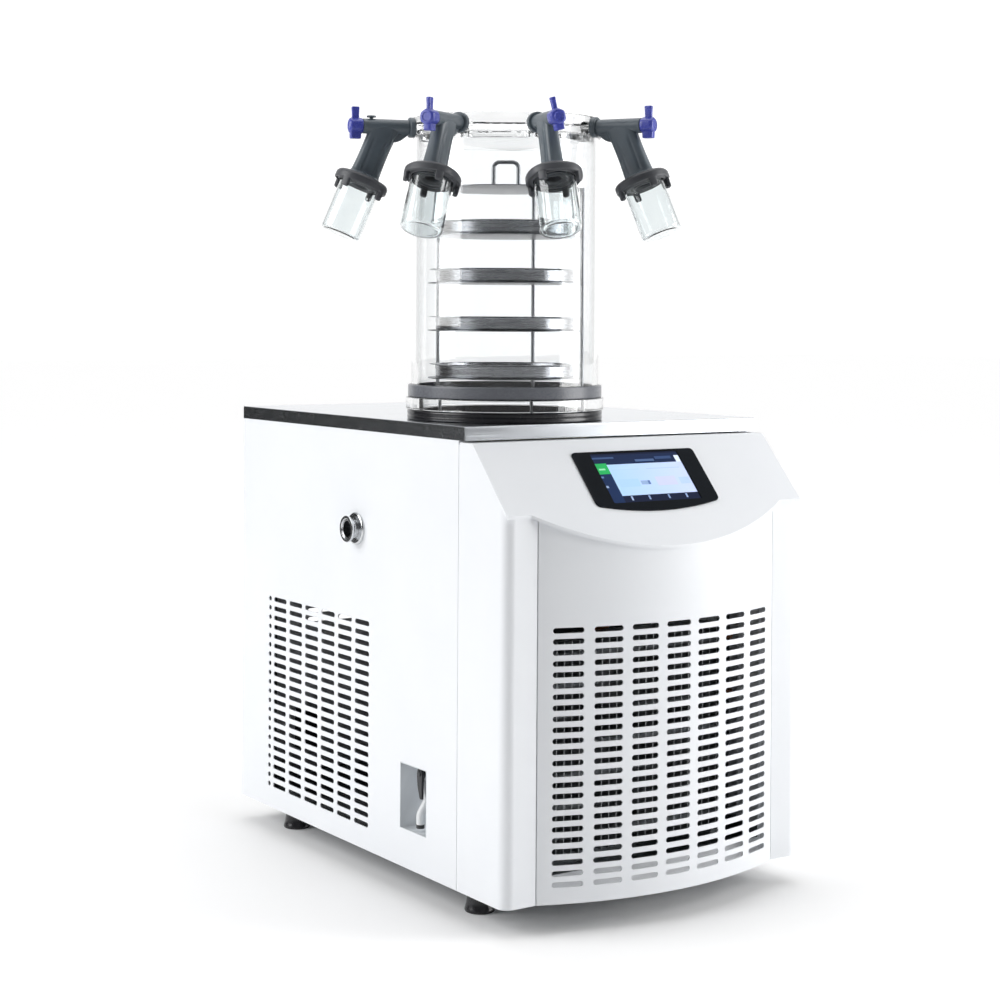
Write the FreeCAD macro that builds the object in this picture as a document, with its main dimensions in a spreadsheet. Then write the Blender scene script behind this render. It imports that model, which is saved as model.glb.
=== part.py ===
"""Floor-standing laboratory freeze dryer with a clear drying chamber and a four-valve manifold.

Frame: +X to the machine's right, +Y to its back, +Z up, millimetres.
Origin: on the floor, at the middle of the cabinet's width and of its side depth.
Round pieces are drawn about their own axis and then placed. A valve arm is drawn in its own radial
frame, +X outwards from the chamber axis, and then turned about that axis.
"""
import FreeCAD, Part
import Sketcher
import math
import os
import re

Vector = FreeCAD.Vector
Rotation = FreeCAD.Rotation
X_AXIS = Vector(1, 0, 0)
Y_AXIS = Vector(0, 1, 0)
Z_AXIS = Vector(0, 0, 1)

SIZES = {
    # cabinet
    "body_width": 526.0,         # over the side panels
    "body_depth": 780.0,         # from the front columns' faces to the rear panel
    "body_height": 645.0,        # from the underside of the panels to the top of the deck
    "foot_gap": 40.0,            # from the floor to the underside of the panels
    "gauge": 1.5,                # steel sheet
    "fit_gap": 0.3,              # between sheet pieces that lie beside each other
    "panel_flange": 15.0,        # turned-in edges of the side and rear panels
    "seam_gap": 1.0,             # visible joint between side panel and front frame
    "post_side": 25.0,           # square tube of the chassis
    "post_wall": 2.0,
    "front_post_setback": 20.0,  # from the seam to the front posts
    "pan_flange": 25.0,          # turned-up edge of the base pan
    "foot_radius": 22.0,
    "foot_inset_side": 51.0,
    "foot_inset_front": 135.0,     # from the columns' faces
    "foot_inset_back": 100.0,
    # stainless deck
    "deck_edge": 20.0,           # depth of its turned-down edge
    "deck_gauge": 2.0,
    "deck_overhang": 1.0,
    "deck_setback": 100.0,       # from the columns' faces back to the deck's front edge
    "deck_rounding": 1.5,
    # front frame and grille
    "moulding_depth": 117.0,     # side of the front frame, seam to column face
    "column_width": 52.0,
    "column_return": 20.0,
    "column_rounding": 16.0,
    "bow_rise": 45.0,            # how far the grille stands out at its middle
    "grille_gap": 1.5,           # between grille and columns
    "rail_height": 30.0,
    # sloping control panel
    "panel_slope": 47.2,         # degrees from level
    "panel_ledge": 17.0,         # level strip in front of the deck
    "panel_tuck": 15.0,          # the part of the ledge that lies under the deck
    "panel_drop": 2.5,           # shadow gap under the deck
    "panel_gauge": 3.0,
    "panel_lip": 3.0,            # how far the panel overhangs the columns
    "hood_chord": 460.0,
    "hood_rise": 48.0,
    # display
    "display_down": 72.0,        # down the slope from the panel's top corner
    "bezel_width": 220.0,
    "bezel_height": 95.0,
    "bezel_bow": 13.0,
    "bezel_rounding": 7.0,
    "bezel_proud": 2.0,
    "screen_width": 156.0,
    "screen_height": 88.0,
    "module_width": 176.0,
    "module_height": 98.0,
    "module_depth": 28.0,
    # ventilation slots
    "slot_length": 42.5,
    "slot_height": 7.5,
    "slot_row": 15.0,            # row spacing
    "front_slot_step": 56.4,
    "front_slot_columns": 7,
    "front_slot_rows": 24,
    "front_slot_low": 26.5,      # middle of the lowest row above the underside
    "side_slot_step": 52.7,
    "side_slot_columns": 6,
    "side_slot_rows": 21,
    "side_slot_low": 37.5,
    "side_slot_back": 133.4,     # middle of the rearmost column, from the back
    "short_slot_length": 9.0,
    "rear_slot_step": 60.0,
    "rear_slot_columns": 5,
    "rear_slot_rows": 10,
    "rear_slot_low": 280.0,
    # chamber axis and the stack that stands on the deck
    "chamber_left": 166.0,       # from the left side
    "chamber_front": 251.0,      # from the columns' faces
    "trap_gasket_outer": 145.0,
    "trap_gasket_inner": 120.5,
    "trap_gasket_height": 15.0,
    "base_ring_outer": 147.0,
    "base_ring_inner": 122.0,
    "base_ring_height": 18.5,
    "cylinder_outer": 139.0,
    "cylinder_wall": 8.0,
    "cylinder_height": 379.5,
    "chamber_gasket_outer": 144.0,
    "chamber_gasket_height": 18.0,
    "chamber_gasket_web": 4.0,
    "chamber_gasket_lap": 6.0,   # how far the web reaches inside the cylinder's bore
    "lid_outer": 141.5,
    "lid_thick": 28.0,
    "lid_spigot": 8.0,
    "spigot_gap": 0.5,
    # tray rack
    "rack_radius": 115.0,
    "rack_plate": 1.5,
    "rack_rod": 3.0,             # rod radius
    "rack_rod_bury": 1.5,        # how deep a rod is welded into the plates' edge
    "rack_rod_first": 119.0,     # degrees about the chamber axis
    "rack_rod_step": -85.0,
    "rack_base_inner": 104.0,
    "rack_base_thick": 3.0,
    "shelf_low": 60.5,           # from the deck to the lowest shelf
    "shelf_pitch": 70.0,
    "shelf_count": 4,
    "handle_span": 37.0,
    "handle_height": 40.0,
    "handle_rod": 3.0,
    "handle_foot": 7.0,
    "handle_foot_thick": 2.0,
    "handle_turn": -34.0,
    "tray_height": 20.0,
    "tray_wall": 1.0,
    "tray_base": 103.0,
    "tray_draft": 1.0,
    # valve arms
    "arm_first": -196.5,         # degrees about the chamber axis
    "arm_step": 45.0,
    "arm_low": 11.5,             # from the lid's underside to the arm's axis
    "port_radius": 9.0,
    "port_depth": 28.0,
    "port_drop_radius": 7.0,
    "arm_collar": 15.0,
    "arm_collar_long": 9.0,
    "arm_tube": 11.0,
    "arm_end": 220.0,
    "arm_bore": 7.0,
    "plug_radius": 8.5,
    "plug_start": 166.0,
    "running_gap": 0.05,
    "knob_gap": 0.4,
    "knob_radius": 12.0,
    "knob_long": 20.0,
    "lever_long": 12.0,
    "lever_thick": 7.0,
    "lever_height": 16.0,
    "lug_wide": 12.5,            # the short lug under each knob
    "lug_drop": 19.0,
    "lug_inset": 2.0,
    "lever_tilt": 14.0,          # the third valve is a little open
    "neck_angle": 23.0,          # outwards from straight down
    "neck_start": 186.0,
    "neck_long": 82.0,
    "neck_half": 14.5,
    "neck_web": 14.0,
    "neck_bore": 7.0,
    "neck_tip": 9.9,             # radius of the nipple inside the flask cap
    "gusset_thick": 8.0,
    "gusset_drop": 22.0,
    # flask caps and flasks
    "cap_radius": 41.0,
    "cap_thick": 14.0,
    "cap_hole": 10.0,
    "cap_groove": 4.0,
    "claw_count": 4,
    "claw_width": 12.0,
    "claw_thick": 7.5,
    "claw_drop": 12.0,
    "flask_radius": 30.0,
    "flask_wall": 2.5,
    "flask_height": 80.0,
    "flask_rounding": 6.0,
    # cold trap
    "trap_radius": 101.5,
    "trap_wall": 1.5,
    "trap_depth": 240.0,
    "trap_flange": 117.0,
    "coil_tube": 4.75,
    "coil_pitch": 12.0,
    "coil_height": 108.0,
    "coil_top_drop": 37.0,       # from the deck's top to the coil's upper end
    "jacket_inner": 113.0,
    "jacket_outer": 123.5,
    "jacket_floor": 12.0,
    # vacuum port on the left side
    "port_drop": 168.5,          # below the top of the deck
    "port_front": 402.0,         # from the columns' faces
    "pipe_radius": 14.0,
    "pipe_wall": 1.5,
    "pipe_bend": 32.0,
    "pipe_side": 59.0,           # from the chamber axis towards the left
    "pipe_inside": 10.0,
    "nipple_out": 18.0,
    "nipple_in": 8.0,
    "nipple_flange": 20.0,
    "nipple_flange_thick": 3.0,
    "nipple_taper": 4.0,
    "escutcheon_radius": 24.5,
    "escutcheon_thick": 4.0,
    # drain
    "recess_front": 233.5,       # middle, from the columns' faces
    "recess_level": 103.0,       # middle, above the underside
    "recess_width": 73.0,
    "recess_height": 96.0,
    "recess_depth": 50.0,
    "drain_forward": 6.5,       # drain axis in front of the recess's middle
    "drain_rise": 37.0,          # drain axis above the recess's middle
    "drain_body": 9.0,
    "drain_body_long": 36.0,
    "drain_stem": 3.0,
    "drain_stem_long": 8.0,
    "drain_spout": 6.0,
    "drain_spout_drop": 78.0,
    "drain_spout_in": 28.0,      # from the barrel's inner end to the spout
    "drain_spout_knee": 40.0,    # from the valve's axis down to the spout's first bend
    "drain_spout_step": 12.0,    # how far its lower run stands further out
    "drain_spout_bend": 12.0,
    "drain_bore": 3.5,
    "drain_hub": 8.0,
    "drain_hub_long": 6.0,
    "drain_lever_long": 36.0,
    "drain_lever_width": 14.0,
    "drain_lever_thick": 3.5,
    "drain_tube": 6.0,
    "drain_tube_bend": 25.0,
    # refrigeration
    "compressor_back": 190.0,    # its axis, from the back
    "compressor_radius": 85.0,
    "compressor_height": 205.0,
    "compressor_lift": 10.0,
    "compressor_plate": 3.0,
    "compressor_foot": 190.0,
    "compressor_dome": 35.0,
    "stub_radius": 7.0,
    "stub_height": 20.0,
    "stub_offset": 45.0,
    "line_radius": 5.0,
    "line_bend": 25.0,
    "condenser_width": 330.0,
    "condenser_depth": 35.0,
    "condenser_height": 300.0,
    "condenser_low": 42.0,       # above the underside
    "condenser_setback": 55.0,
    "fin_count": 26,
    "fin_thick": 1.0,
    "condenser_tube": 5.0,
    "condenser_tubes": 7,
    "shroud_depth": 30.0,
    "fan_radius": 118.0,
    "fan_gap": 5.0,
    "fan_hub": 30.0,
    "fan_hub_long": 18.0,
    "blade_count": 5,
    "blade_thick": 2.0,
    "blade_chord": 60.0,
    "blade_pitch": 24.0,
    "motor_radius": 36.0,
    "motor_long": 45.0,
    "shaft_radius": 4.0,
    "shaft_long": 16.0,
    "strut_width": 12.0,
    "drier_offset": 97.0,        # in front of the chamber axis
    "drier_radius": 13.0,
    "drier_long": 90.0,
    # electrics
    "box_wide": 110.0,
    "box_deep": 170.0,
    "box_high": 170.0,
    "box_front": 330.0,          # from the columns' faces
    "inlet_x": -150.0,
    "inlet_level": 100.0,        # above the underside
    "inlet_width": 30.0,
    "inlet_height": 64.0,
    "inlet_depth": 32.0,
    "inlet_flange": 5.0,
    "socket_width": 24.0,
    "socket_height": 20.0,
    "socket_depth": 18.0,
    "rocker_width": 13.0,
    "rocker_height": 20.0,
    "rocker_depth": 9.0,
    "rocker_tilt": 10.0,
    "rocker_pin": 1.5,
}

doc = FreeCAD.newDocument("freeze_dryer")
dims = doc.addObject("Spreadsheet::Sheet", "Dims")
for row, (word, number) in enumerate(SIZES.items(), start=1):
    dims.set(f"A{row}", word)
    dims.set(f"B{row}", str(number))
    dims.setAlias(f"B{row}", word)
doc.recompute()

ALIAS = re.compile(r"\b(" + "|".join(sorted(SIZES, key=len, reverse=True)) + r")\b")


def cells(text):
    """An expression in plain size names, with each name made a cell of the sheet."""
    return ALIAS.sub(r"Dims.\1", str(text))


def value(text):
    """What an expression in size names comes to now."""
    return float(dims.evalExpression(cells(text)))


# Places that many pieces share, as expressions in size names.
HALF = "body_width/2"
FRONT = "(-body_depth/2)"
BACK = "(body_depth/2)"
DECK_TOP = "(foot_gap + body_height)"
DECK_UNDER = "(foot_gap + body_height - deck_edge)"
SEAM = "(-body_depth/2 + moulding_depth)"
DECK_FRONT = "(-body_depth/2 + deck_setback)"
AXIS_X = "(-body_width/2 + chamber_left)"
AXIS_Y = "(-body_depth/2 + chamber_front)"
PAN_FLOOR = "(foot_gap + 2*gauge)"
GRILLE_HALF = "(body_width/2 - column_width)"
BOW = f"(({GRILLE_HALF}^2 + bow_rise^2)/(2*bow_rise))"
HOOD = "((hood_chord^2/4 + hood_rise^2)/(2*hood_rise))"
SLOPE_Y = f"({DECK_FRONT} - panel_ledge)"
SLOPE_Z = f"({DECK_UNDER} - panel_drop)"
RING_LOW = f"({DECK_TOP} + trap_gasket_height)"
GASKET_LOW = f"({RING_LOW} + base_ring_height)"
CYLINDER_LOW = f"({GASKET_LOW} + chamber_gasket_web)"
LID_LOW = f"({CYLINDER_LOW} + cylinder_height)"
ARM_LEVEL = f"({LID_LOW} + arm_low)"
CAP_X = "(neck_start + neck_long*sin(neck_angle))"
CAP_Z = "(-neck_long*cos(neck_angle))"
RECESS_Y = "(-body_depth/2 + recess_front)"
RECESS_Z = "(foot_gap + recess_level)"
DRAIN_Y = f"({RECESS_Y} - drain_forward)"
DRAIN_Z = f"({RECESS_Z} + drain_rise)"
RECESS_BACK = "(-body_width/2 + recess_depth)"
CONDENSER_Z = "(foot_gap + condenser_low)"
FAN_LEVEL = f"({CONDENSER_Z} + condenser_height/2)"
CONDENSER_Y = f"({FRONT} + condenser_setback)"
FAN_Y = f"({CONDENSER_Y} + condenser_depth + shroud_depth)"


def bind(thing, **sizes):
    """Tie properties of an object to expressions."""
    for prop, text in sizes.items():
        thing.setExpression(prop.replace("__", "."), cells(text))
    return thing


def place(thing, at=("0", "0", "0"), axis=None, angle=None):
    """Bind where an object stands, and its turn about one axis."""
    if axis is not None:
        thing.Placement = FreeCAD.Placement(Vector(0, 0, 0), Rotation(axis, value(angle)))
        thing.setExpression("Placement.Rotation.Angle", cells(angle))
    for letter, text in zip("xyz", at):
        thing.setExpression(f"Placement.Base.{letter}", cells(text))
    return thing


def box(name, size, at):
    """A block from its low corner."""
    thing = doc.addObject("Part::Box", name)
    bind(thing, Length=size[0], Width=size[1], Height=size[2])
    return place(thing, at)


def cylinder(name, radius, height, at=("0", "0", "0"), along=None):
    """A cylinder that rises from at along +Z, or along the axis given."""
    thing = doc.addObject("Part::Cylinder", name)
    bind(thing, Radius=radius, Height=height)
    turns = {None: (None, None), "X": (Y_AXIS, "90"), "-X": (Y_AXIS, "270"), "Y": (X_AXIS, "270")}
    axis, angle = turns[along]
    return place(thing, at, axis, angle)


def cut(name, base, *tools):
    """One piece less one or more others."""
    thing = doc.addObject("Part::Cut", name)
    thing.Base = base
    thing.Tool = tools[0] if len(tools) == 1 else fuse(name + "_tools", *tools)
    return thing


def fuse(name, *pieces):
    """Pieces joined into one."""
    thing = doc.addObject("Part::MultiFuse", name)
    thing.Shapes = list(pieces)
    return thing


def common(name, first, second):
    """What two pieces share."""
    thing = doc.addObject("Part::Common", name)
    thing.Base = first
    thing.Tool = second
    return thing


def holder(name, *pieces):
    """A frame that carries finished pieces, so that they can be turned together."""
    thing = doc.addObject("Part::Compound", name)
    thing.Links = list(pieces)
    return thing


def own_plane(body, role):
    """One of a body's own origin planes."""
    return next(feature for feature in body.Origin.OriginFeatures if feature.Role == role)


def outline(body, role, points):
    """A closed sketch through points whose two distances from the origin are bound."""
    sketch = body.newObject("Sketcher::SketchObject", body.Name + "_sketch")
    sketch.AttachmentSupport = (own_plane(body, role), [""])
    sketch.MapMode = "FlatFace"
    spots = [Vector(value(x), value(y), 0) for x, y in points]
    for start, end in zip(spots, spots[1:] + spots[:1]):
        sketch.addGeometry(Part.LineSegment(start, end), False)
    count = len(points)
    for index in range(count):
        sketch.addConstraint(Sketcher.Constraint("Coincident", index, 2, (index + 1) % count, 1))
    for index, pair in enumerate(points):
        for kind, text, number in zip(("DistanceX", "DistanceY"), pair, spots[index]):
            spot = sketch.addConstraint(Sketcher.Constraint(kind, -1, 1, index, 1, number))
            sketch.setExpression(f"Constraints[{spot}]", cells(text))
    return sketch


def turned(name, points, at=("0", "0", "0"), axis=None, angle=None):
    """A piece turned about its own Z, from a profile of (radius, height)."""
    body = doc.addObject("PartDesign::Body", name)
    sketch = outline(body, "XZ_Plane", points)
    spin = body.newObject("PartDesign::Revolution", name + "_turn")
    spin.Profile = sketch
    spin.ReferenceAxis = (sketch, ["V_Axis"])
    spin.Angle = 360
    return place(body, at, axis, angle)


def slab(name, role, points, length, at=("0", "0", "0")):
    """A straight piece from a profile, padded both ways from one of its own planes."""
    body = doc.addObject("PartDesign::Body", name)
    sketch = outline(body, role, points)
    pad = body.newObject("PartDesign::Pad", name + "_pad")
    pad.Profile = sketch
    pad.SideType = "Symmetric"
    pad.setExpression("Length", cells(length))
    return place(body, at)


def rounded(body, radius, wanted):
    """Round the edges of a body for which wanted(edge) is true."""
    doc.recompute()
    base = body.Tip
    names = [f"Edge{n}" for n, edge in enumerate(base.Shape.Edges, start=1) if wanted(edge)]
    fillet = body.newObject("PartDesign::Fillet", base.Name + "_round")
    fillet.Base = (base, names)
    fillet.setExpression("Radius", cells(radius))
    body.Tip = fillet
    return body


def circle_at(radius, height):
    """A test for a round edge of a turned piece, by its radius and height."""
    def test(edge):
        curve = edge.Curve
        if not isinstance(curve, Part.Circle):
            return False
        return abs(curve.Radius - value(radius)) < 0.01 and abs(curve.Center.z - value(height)) < 0.01
    return test


def upright_at(x, y):
    """A test for an upright straight edge that stands at plus or minus x, and y."""
    def test(edge):
        box_of = edge.BoundBox
        flat = box_of.XLength < 0.01 and box_of.YLength < 0.01
        return flat and abs(abs(box_of.XMin) - value(x)) < 0.01 and abs(box_of.YMin - value(y)) < 0.01
    return test


def shaped(name, shape):
    """A piece whose shape is worked out directly from the sheet's sizes."""
    thing = doc.addObject("Part::Feature", name)
    thing.Shape = shape
    return thing


def rod_along(points, radius, bend, hollow=0.0):
    """A round bar or tube through points: straight runs joined by tangent arcs of one radius."""
    edges = []
    start = points[0]
    for before, corner, after in zip(points, points[1:], points[2:]):
        inward = (before - corner).normalize()
        outward = (after - corner).normalize()
        half = inward.getAngle(outward) / 2
        back = bend / math.tan(half)
        first = corner + inward * back
        last = corner + outward * back
        middle = corner + (inward + outward).normalize() * (bend / math.sin(half) - bend)
        edges.append(Part.LineSegment(start, first).toShape())
        edges.append(Part.Arc(first, middle, last).toShape())
        start = last
    edges.append(Part.LineSegment(start, points[-1]).toShape())
    path = Part.Wire(edges)
    way = points[1] - points[0]

    def swept(size):
        ring = Part.Wire(Part.makeCircle(size, points[0], way))
        return path.makePipeShell([ring], True, True)

    solid = swept(radius)
    return solid.cut(swept(hollow)) if hollow else solid


def slot_field(name, columns, rows, first, step_across, across, depth, length="slot_length"):
    """A field of round-ended slots: the solids that are cut out of a sheet.

    first is the middle of the first slot; each solid reaches depth both ways through the sheet.
    """
    long = value(length)
    high = value("slot_height")
    reach = value(depth)
    through = Z_AXIS.cross(across)
    half = across * ((long - high) / 2)
    up = Z_AXIS * (high / 2)
    solids = []
    for column in range(columns):
        for line in range(rows):
            middle = first + across * (step_across * column) + Z_AXIS * (value("slot_row") * line)
            centre = middle - through * reach
            left = centre - half
            right = centre + half
            edges = [
                Part.LineSegment(left + up, right + up).toShape(),
                Part.Arc(right + up, right + across * (high / 2), right - up).toShape(),
                Part.LineSegment(right - up, left - up).toShape(),
                Part.Arc(left - up, left - across * (high / 2), left + up).toShape(),
            ]
            solids.append(Part.Face(Part.Wire(edges)).extrude(through * (2 * reach)))
    return shaped(name, Part.makeCompound(solids))


def mirrored(name, source):
    """The same piece on the machine's other side."""
    thing = doc.addObject("Part::Mirroring", name)
    thing.Source = source
    thing.Normal = X_AXIS
    thing.Base = Vector(0, 0, 0)
    return thing


def tilted(thing, at, axis, angle):
    """Turn a finished piece about its own origin and set it down."""
    return place(thing, at, axis, angle)


def spot(x, y, z):
    """A point whose coordinates are expressions."""
    return Vector(value(x), value(y), value(z))


NODES = []


def node(thing, label):
    """Record a finished piece under the name that it is handed on by."""
    thing.Label = label
    NODES.append(thing)
    return thing


# ---------------------------------------------------------------------------
# Cabinet: base pan, feet and chassis
# ---------------------------------------------------------------------------
PAN_X = f"({HALF} - gauge - fit_gap)"
PAN_Y = f"({FRONT} + column_return + gauge)"
pan_block = box("pan_block", (f"2*{PAN_X}", f"{BACK} - gauge - {PAN_Y}", "pan_flange"),
                (f"-{PAN_X}", PAN_Y, "foot_gap + gauge"))
pan_hollow = box("pan_hollow",
                 (f"2*{PAN_X} - 2*gauge", f"{BACK} - 3*gauge - {PAN_Y}", "pan_flange"),
                 (f"-{PAN_X} + gauge", f"{PAN_Y} + gauge", PAN_FLOOR))
node(cut("base_pan_solid", pan_block, pan_hollow), "base_pan")

feet = []
for side in (-1, 1):
    for end, y in (("front", f"{FRONT} + foot_inset_front"), ("back", f"{BACK} - foot_inset_back")):
        x = f"{side}*({HALF} - foot_inset_side)"
        feet.append(cylinder(f"foot_{end}_{side + 1}", "foot_radius", "foot_gap + gauge", (x, y, "0")))
node(holder("feet", *feet), "rubber_feet")

POST_OUT = f"({HALF} - gauge - panel_flange - fit_gap)"
POST_FRONT = f"({SEAM} + front_post_setback)"
POST_BACK = f"({BACK} - 2*gauge - panel_flange)"
PLATE_UNDER = f"({DECK_TOP} - deck_gauge)"
POST_HIGH = f"({PLATE_UNDER} - {PAN_FLOOR})"
posts = []
bores = []
for side in (0, 1):
    x = f"({2 * side - 1}*{POST_OUT} - {side}*post_side)"
    for end, y in (("front", POST_FRONT), ("back", f"({POST_BACK} - post_side)")):
        posts.append(box(f"post_{end}_{side}", ("post_side", "post_side", POST_HIGH), (x, y, PAN_FLOOR)))
        bores.append(box(f"post_bore_{end}_{side}",
                         ("post_side - 2*post_wall", "post_side - 2*post_wall", POST_HIGH),
                         (f"{x} + post_wall", f"{y} + post_wall", PAN_FLOOR)))
    for end, z in (("low", PAN_FLOOR), ("high", f"({PLATE_UNDER} - post_side)")):
        posts.append(box(f"rail_{end}_{side}",
                         ("post_side", f"{POST_BACK} - {POST_FRONT} - 2*post_side", "post_side"),
                         (x, f"{POST_FRONT} + post_side", z)))
rungs = (("rung_front", POST_FRONT, PAN_FLOOR), ("rung_back", f"({POST_BACK} - post_side)", PAN_FLOOR),
         ("rung_high", f"({POST_BACK} - post_side)", f"({PLATE_UNDER} - post_side)"))
for word, y, z in rungs:
    posts.append(box(word, (f"2*{POST_OUT} - 2*post_side", "post_side", "post_side"),
                     (f"-{POST_OUT} + post_side", y, z)))
node(cut("chassis", fuse("chassis_bars", *posts), *bores), "chassis_frame")

# ---------------------------------------------------------------------------
# Side and rear panels, folded from sheet
# ---------------------------------------------------------------------------
SIDE_Y = f"({SEAM} + seam_gap)"
SIDE_LONG = f"({BACK} - gauge - {SIDE_Y})"
SIDE_HIGH = f"({DECK_UNDER} - foot_gap)"


def side_tray(name):
    """A side panel before its openings: a sheet with four turned-in edges."""
    block = box(name + "_block", ("gauge + panel_flange", SIDE_LONG, SIDE_HIGH),
                (f"-{HALF}", SIDE_Y, "foot_gap"))
    hollow = box(name + "_hollow", ("2*panel_flange", f"{SIDE_LONG} - 2*gauge", f"{SIDE_HIGH} - 2*gauge"),
                 (f"-{HALF} + gauge", f"{SIDE_Y} + gauge", "foot_gap + gauge"))
    long_row = slot_field(name + "_slots", int(value("side_slot_columns")), int(value("side_slot_rows")),
                          spot(f"-{HALF}", f"{BACK} - side_slot_back", "foot_gap + side_slot_low"),
                          value("side_slot_step"), Vector(0, -1, 0), "3*gauge")
    short_y = f"{BACK} - side_slot_back + slot_length/2 + side_slot_step/4"
    short_row = slot_field(name + "_short_slots", 1, int(value("side_slot_rows")),
                           spot(f"-{HALF}", short_y, "foot_gap + side_slot_low"),
                           0.0, Vector(0, -1, 0), "3*gauge", "short_slot_length")
    relief = box(name + "_pan_relief", ("2*panel_flange", "body_depth", "pan_flange + fit_gap"),
                 (f"-{HALF} + gauge", SIDE_Y, "foot_gap + gauge"))
    return block, [hollow, long_row, short_row, relief]


PORT_Y = f"({FRONT} + port_front)"
PORT_Z = f"({DECK_TOP} - port_drop)"
left_block, left_tools = side_tray("left")
recess_window = box("recess_window", ("4*gauge", "recess_width", "recess_height"),
                    (f"-{HALF} - 2*gauge", f"{RECESS_Y} - recess_width/2", f"{RECESS_Z} - recess_height/2"))
port_window = cylinder("port_window", "pipe_radius + fit_gap", "4*gauge",
                       (f"-{HALF} - 2*gauge", PORT_Y, PORT_Z), "X")
node(cut("left_panel", left_block, recess_window, port_window, *left_tools), "left_side_panel")
right_block, right_tools = side_tray("right")
node(mirrored("right_panel", cut("right_panel_as_left", right_block, *right_tools)), "right_side_panel")

INLET_Z = "(foot_gap + inlet_level)"
rear_sheet = box("rear_sheet", ("body_width", "gauge", SIDE_HIGH), (f"-{HALF}", f"{BACK} - gauge", "foot_gap"))
rear_first = f"-(rear_slot_columns - 1)*rear_slot_step/2"
rear_slots = slot_field("rear_slots", int(value("rear_slot_columns")), int(value("rear_slot_rows")),
                        spot(rear_first, f"{BACK} - gauge/2", "foot_gap + rear_slot_low"),
                        value("rear_slot_step"), X_AXIS, "3*gauge")
inlet_window = box("inlet_window",
                   ("inlet_width + 2*fit_gap", "4*gauge", "inlet_height + 2*fit_gap"),
                   ("inlet_x - inlet_width/2 - fit_gap", f"{BACK} - 3*gauge",
                    f"{INLET_Z} - inlet_height/2 - fit_gap"))
node(cut("rear_plate", rear_sheet, rear_slots, inlet_window), "rear_panel")

# ---------------------------------------------------------------------------
# Stainless deck with turned-down edges and the trap opening
# ---------------------------------------------------------------------------
DECK_X = f"({HALF} + deck_overhang)"
DECK_BACK = f"({BACK} + deck_overhang)"
deck_blank = slab("deck_blank", "XY_Plane",
                  [(f"-{DECK_X}", DECK_FRONT), (DECK_X, DECK_FRONT), (DECK_X, DECK_BACK),
                   (f"-{DECK_X}", DECK_BACK)],
                  "deck_edge", ("0", "0", f"{DECK_UNDER} + deck_edge/2"))
rounded(deck_blank, "deck_rounding",
        lambda edge: edge.BoundBox.ZMin > value("deck_edge/2") - 0.01 or edge.BoundBox.ZLength > 1)
deck_hollow = box("deck_hollow",
                  (f"2*{DECK_X} - 2*deck_gauge", f"{DECK_BACK} - {DECK_FRONT} - 2*deck_gauge",
                   "deck_edge - deck_gauge"),
                  (f"-{DECK_X} + deck_gauge", f"{DECK_FRONT} + deck_gauge", DECK_UNDER))
deck_hole = cylinder("deck_hole", "trap_radius + trap_wall + fit_gap", "2*deck_edge",
                     (AXIS_X, AXIS_Y, DECK_UNDER))
node(cut("deck", deck_blank, deck_hollow, deck_hole), "top_plate")

# ---------------------------------------------------------------------------
# Front frame: two columns with rounded outer corners, a low rail and a high rail
# ---------------------------------------------------------------------------
SLOPE_LONG = "((deck_setback + hood_rise)/cos(panel_slope))"
FAR_Y = f"({SLOPE_Y} - {SLOPE_LONG}*cos(panel_slope))"
FAR_Z = f"({SLOPE_Z} - {SLOPE_LONG}*sin(panel_slope))"
UNDER_FAR = (f"{FAR_Y} + panel_gauge*sin(panel_slope)", f"{FAR_Z} - panel_gauge*cos(panel_slope)")
UNDER_BEND = (f"{SLOPE_Y} + panel_gauge*tan(panel_slope/2)", f"{SLOPE_Z} - panel_gauge")


def above_panel(name):
    """Everything above the underside of the sloping panel."""
    return slab(name, "YZ_Plane",
                [(f"{SEAM} + deck_edge", f"{SLOPE_Z} - panel_gauge"), UNDER_BEND, UNDER_FAR,
                 (UNDER_FAR[0], f"{DECK_TOP} + deck_edge"), (f"{SEAM} + deck_edge", f"{DECK_TOP} + deck_edge")],
                "2*body_width")


G = GRILLE_HALF
column = slab("column", "XY_Plane",
              [(f"-{HALF}", SEAM), (f"-{HALF}", FRONT), (f"-{G}", FRONT), (f"-{G}", f"{FRONT} + column_return"),
               (f"-{G} - gauge", f"{FRONT} + column_return"), (f"-{G} - gauge", f"{FRONT} + gauge"),
               (f"-{HALF} + gauge", f"{FRONT} + gauge"), (f"-{HALF} + gauge", f"{SEAM} - gauge"),
               (f"-{HALF} + gauge + panel_flange", f"{SEAM} - gauge"),
               (f"-{HALF} + gauge + panel_flange", SEAM)],
              SIDE_HIGH, ("0", "0", f"foot_gap + {SIDE_HIGH}/2"))
rounded(column, "column_rounding", upright_at(HALF, FRONT))
rounded(column, "column_rounding - gauge", upright_at(f"{HALF} - gauge", f"{FRONT} + gauge"))
column_foot = box("column_foot", ("panel_flange", "moulding_depth - column_rounding - gauge", "gauge"),
                  (f"-{HALF} + gauge", f"{FRONT} + column_rounding", "foot_gap"))
left_column = fuse("left_column", column, column_foot)
right_column = mirrored("right_column", left_column)
low_rail = box("low_rail", (f"2*{G} + 2*gauge", "gauge", "rail_height"),
               (f"-{G} - gauge", f"{FRONT} + column_return", "foot_gap"))
high_rail = box("high_rail", (f"2*{HALF} - 2*gauge", "gauge", "rail_height"),
                (f"-{HALF} + gauge", f"{SEAM} - gauge", f"{SLOPE_Z} - panel_gauge - rail_height"))
frame_relief = box("frame_pan_relief", (f"2*{PAN_X} + 2*fit_gap", "moulding_depth", "pan_flange + fit_gap"),
                   (f"-{PAN_X} - fit_gap", PAN_Y, "foot_gap + gauge"))
node(cut("front_surround", fuse("front_pieces", left_column, right_column, low_rail, high_rail),
         above_panel("above_frame"), frame_relief), "front_frame")

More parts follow.
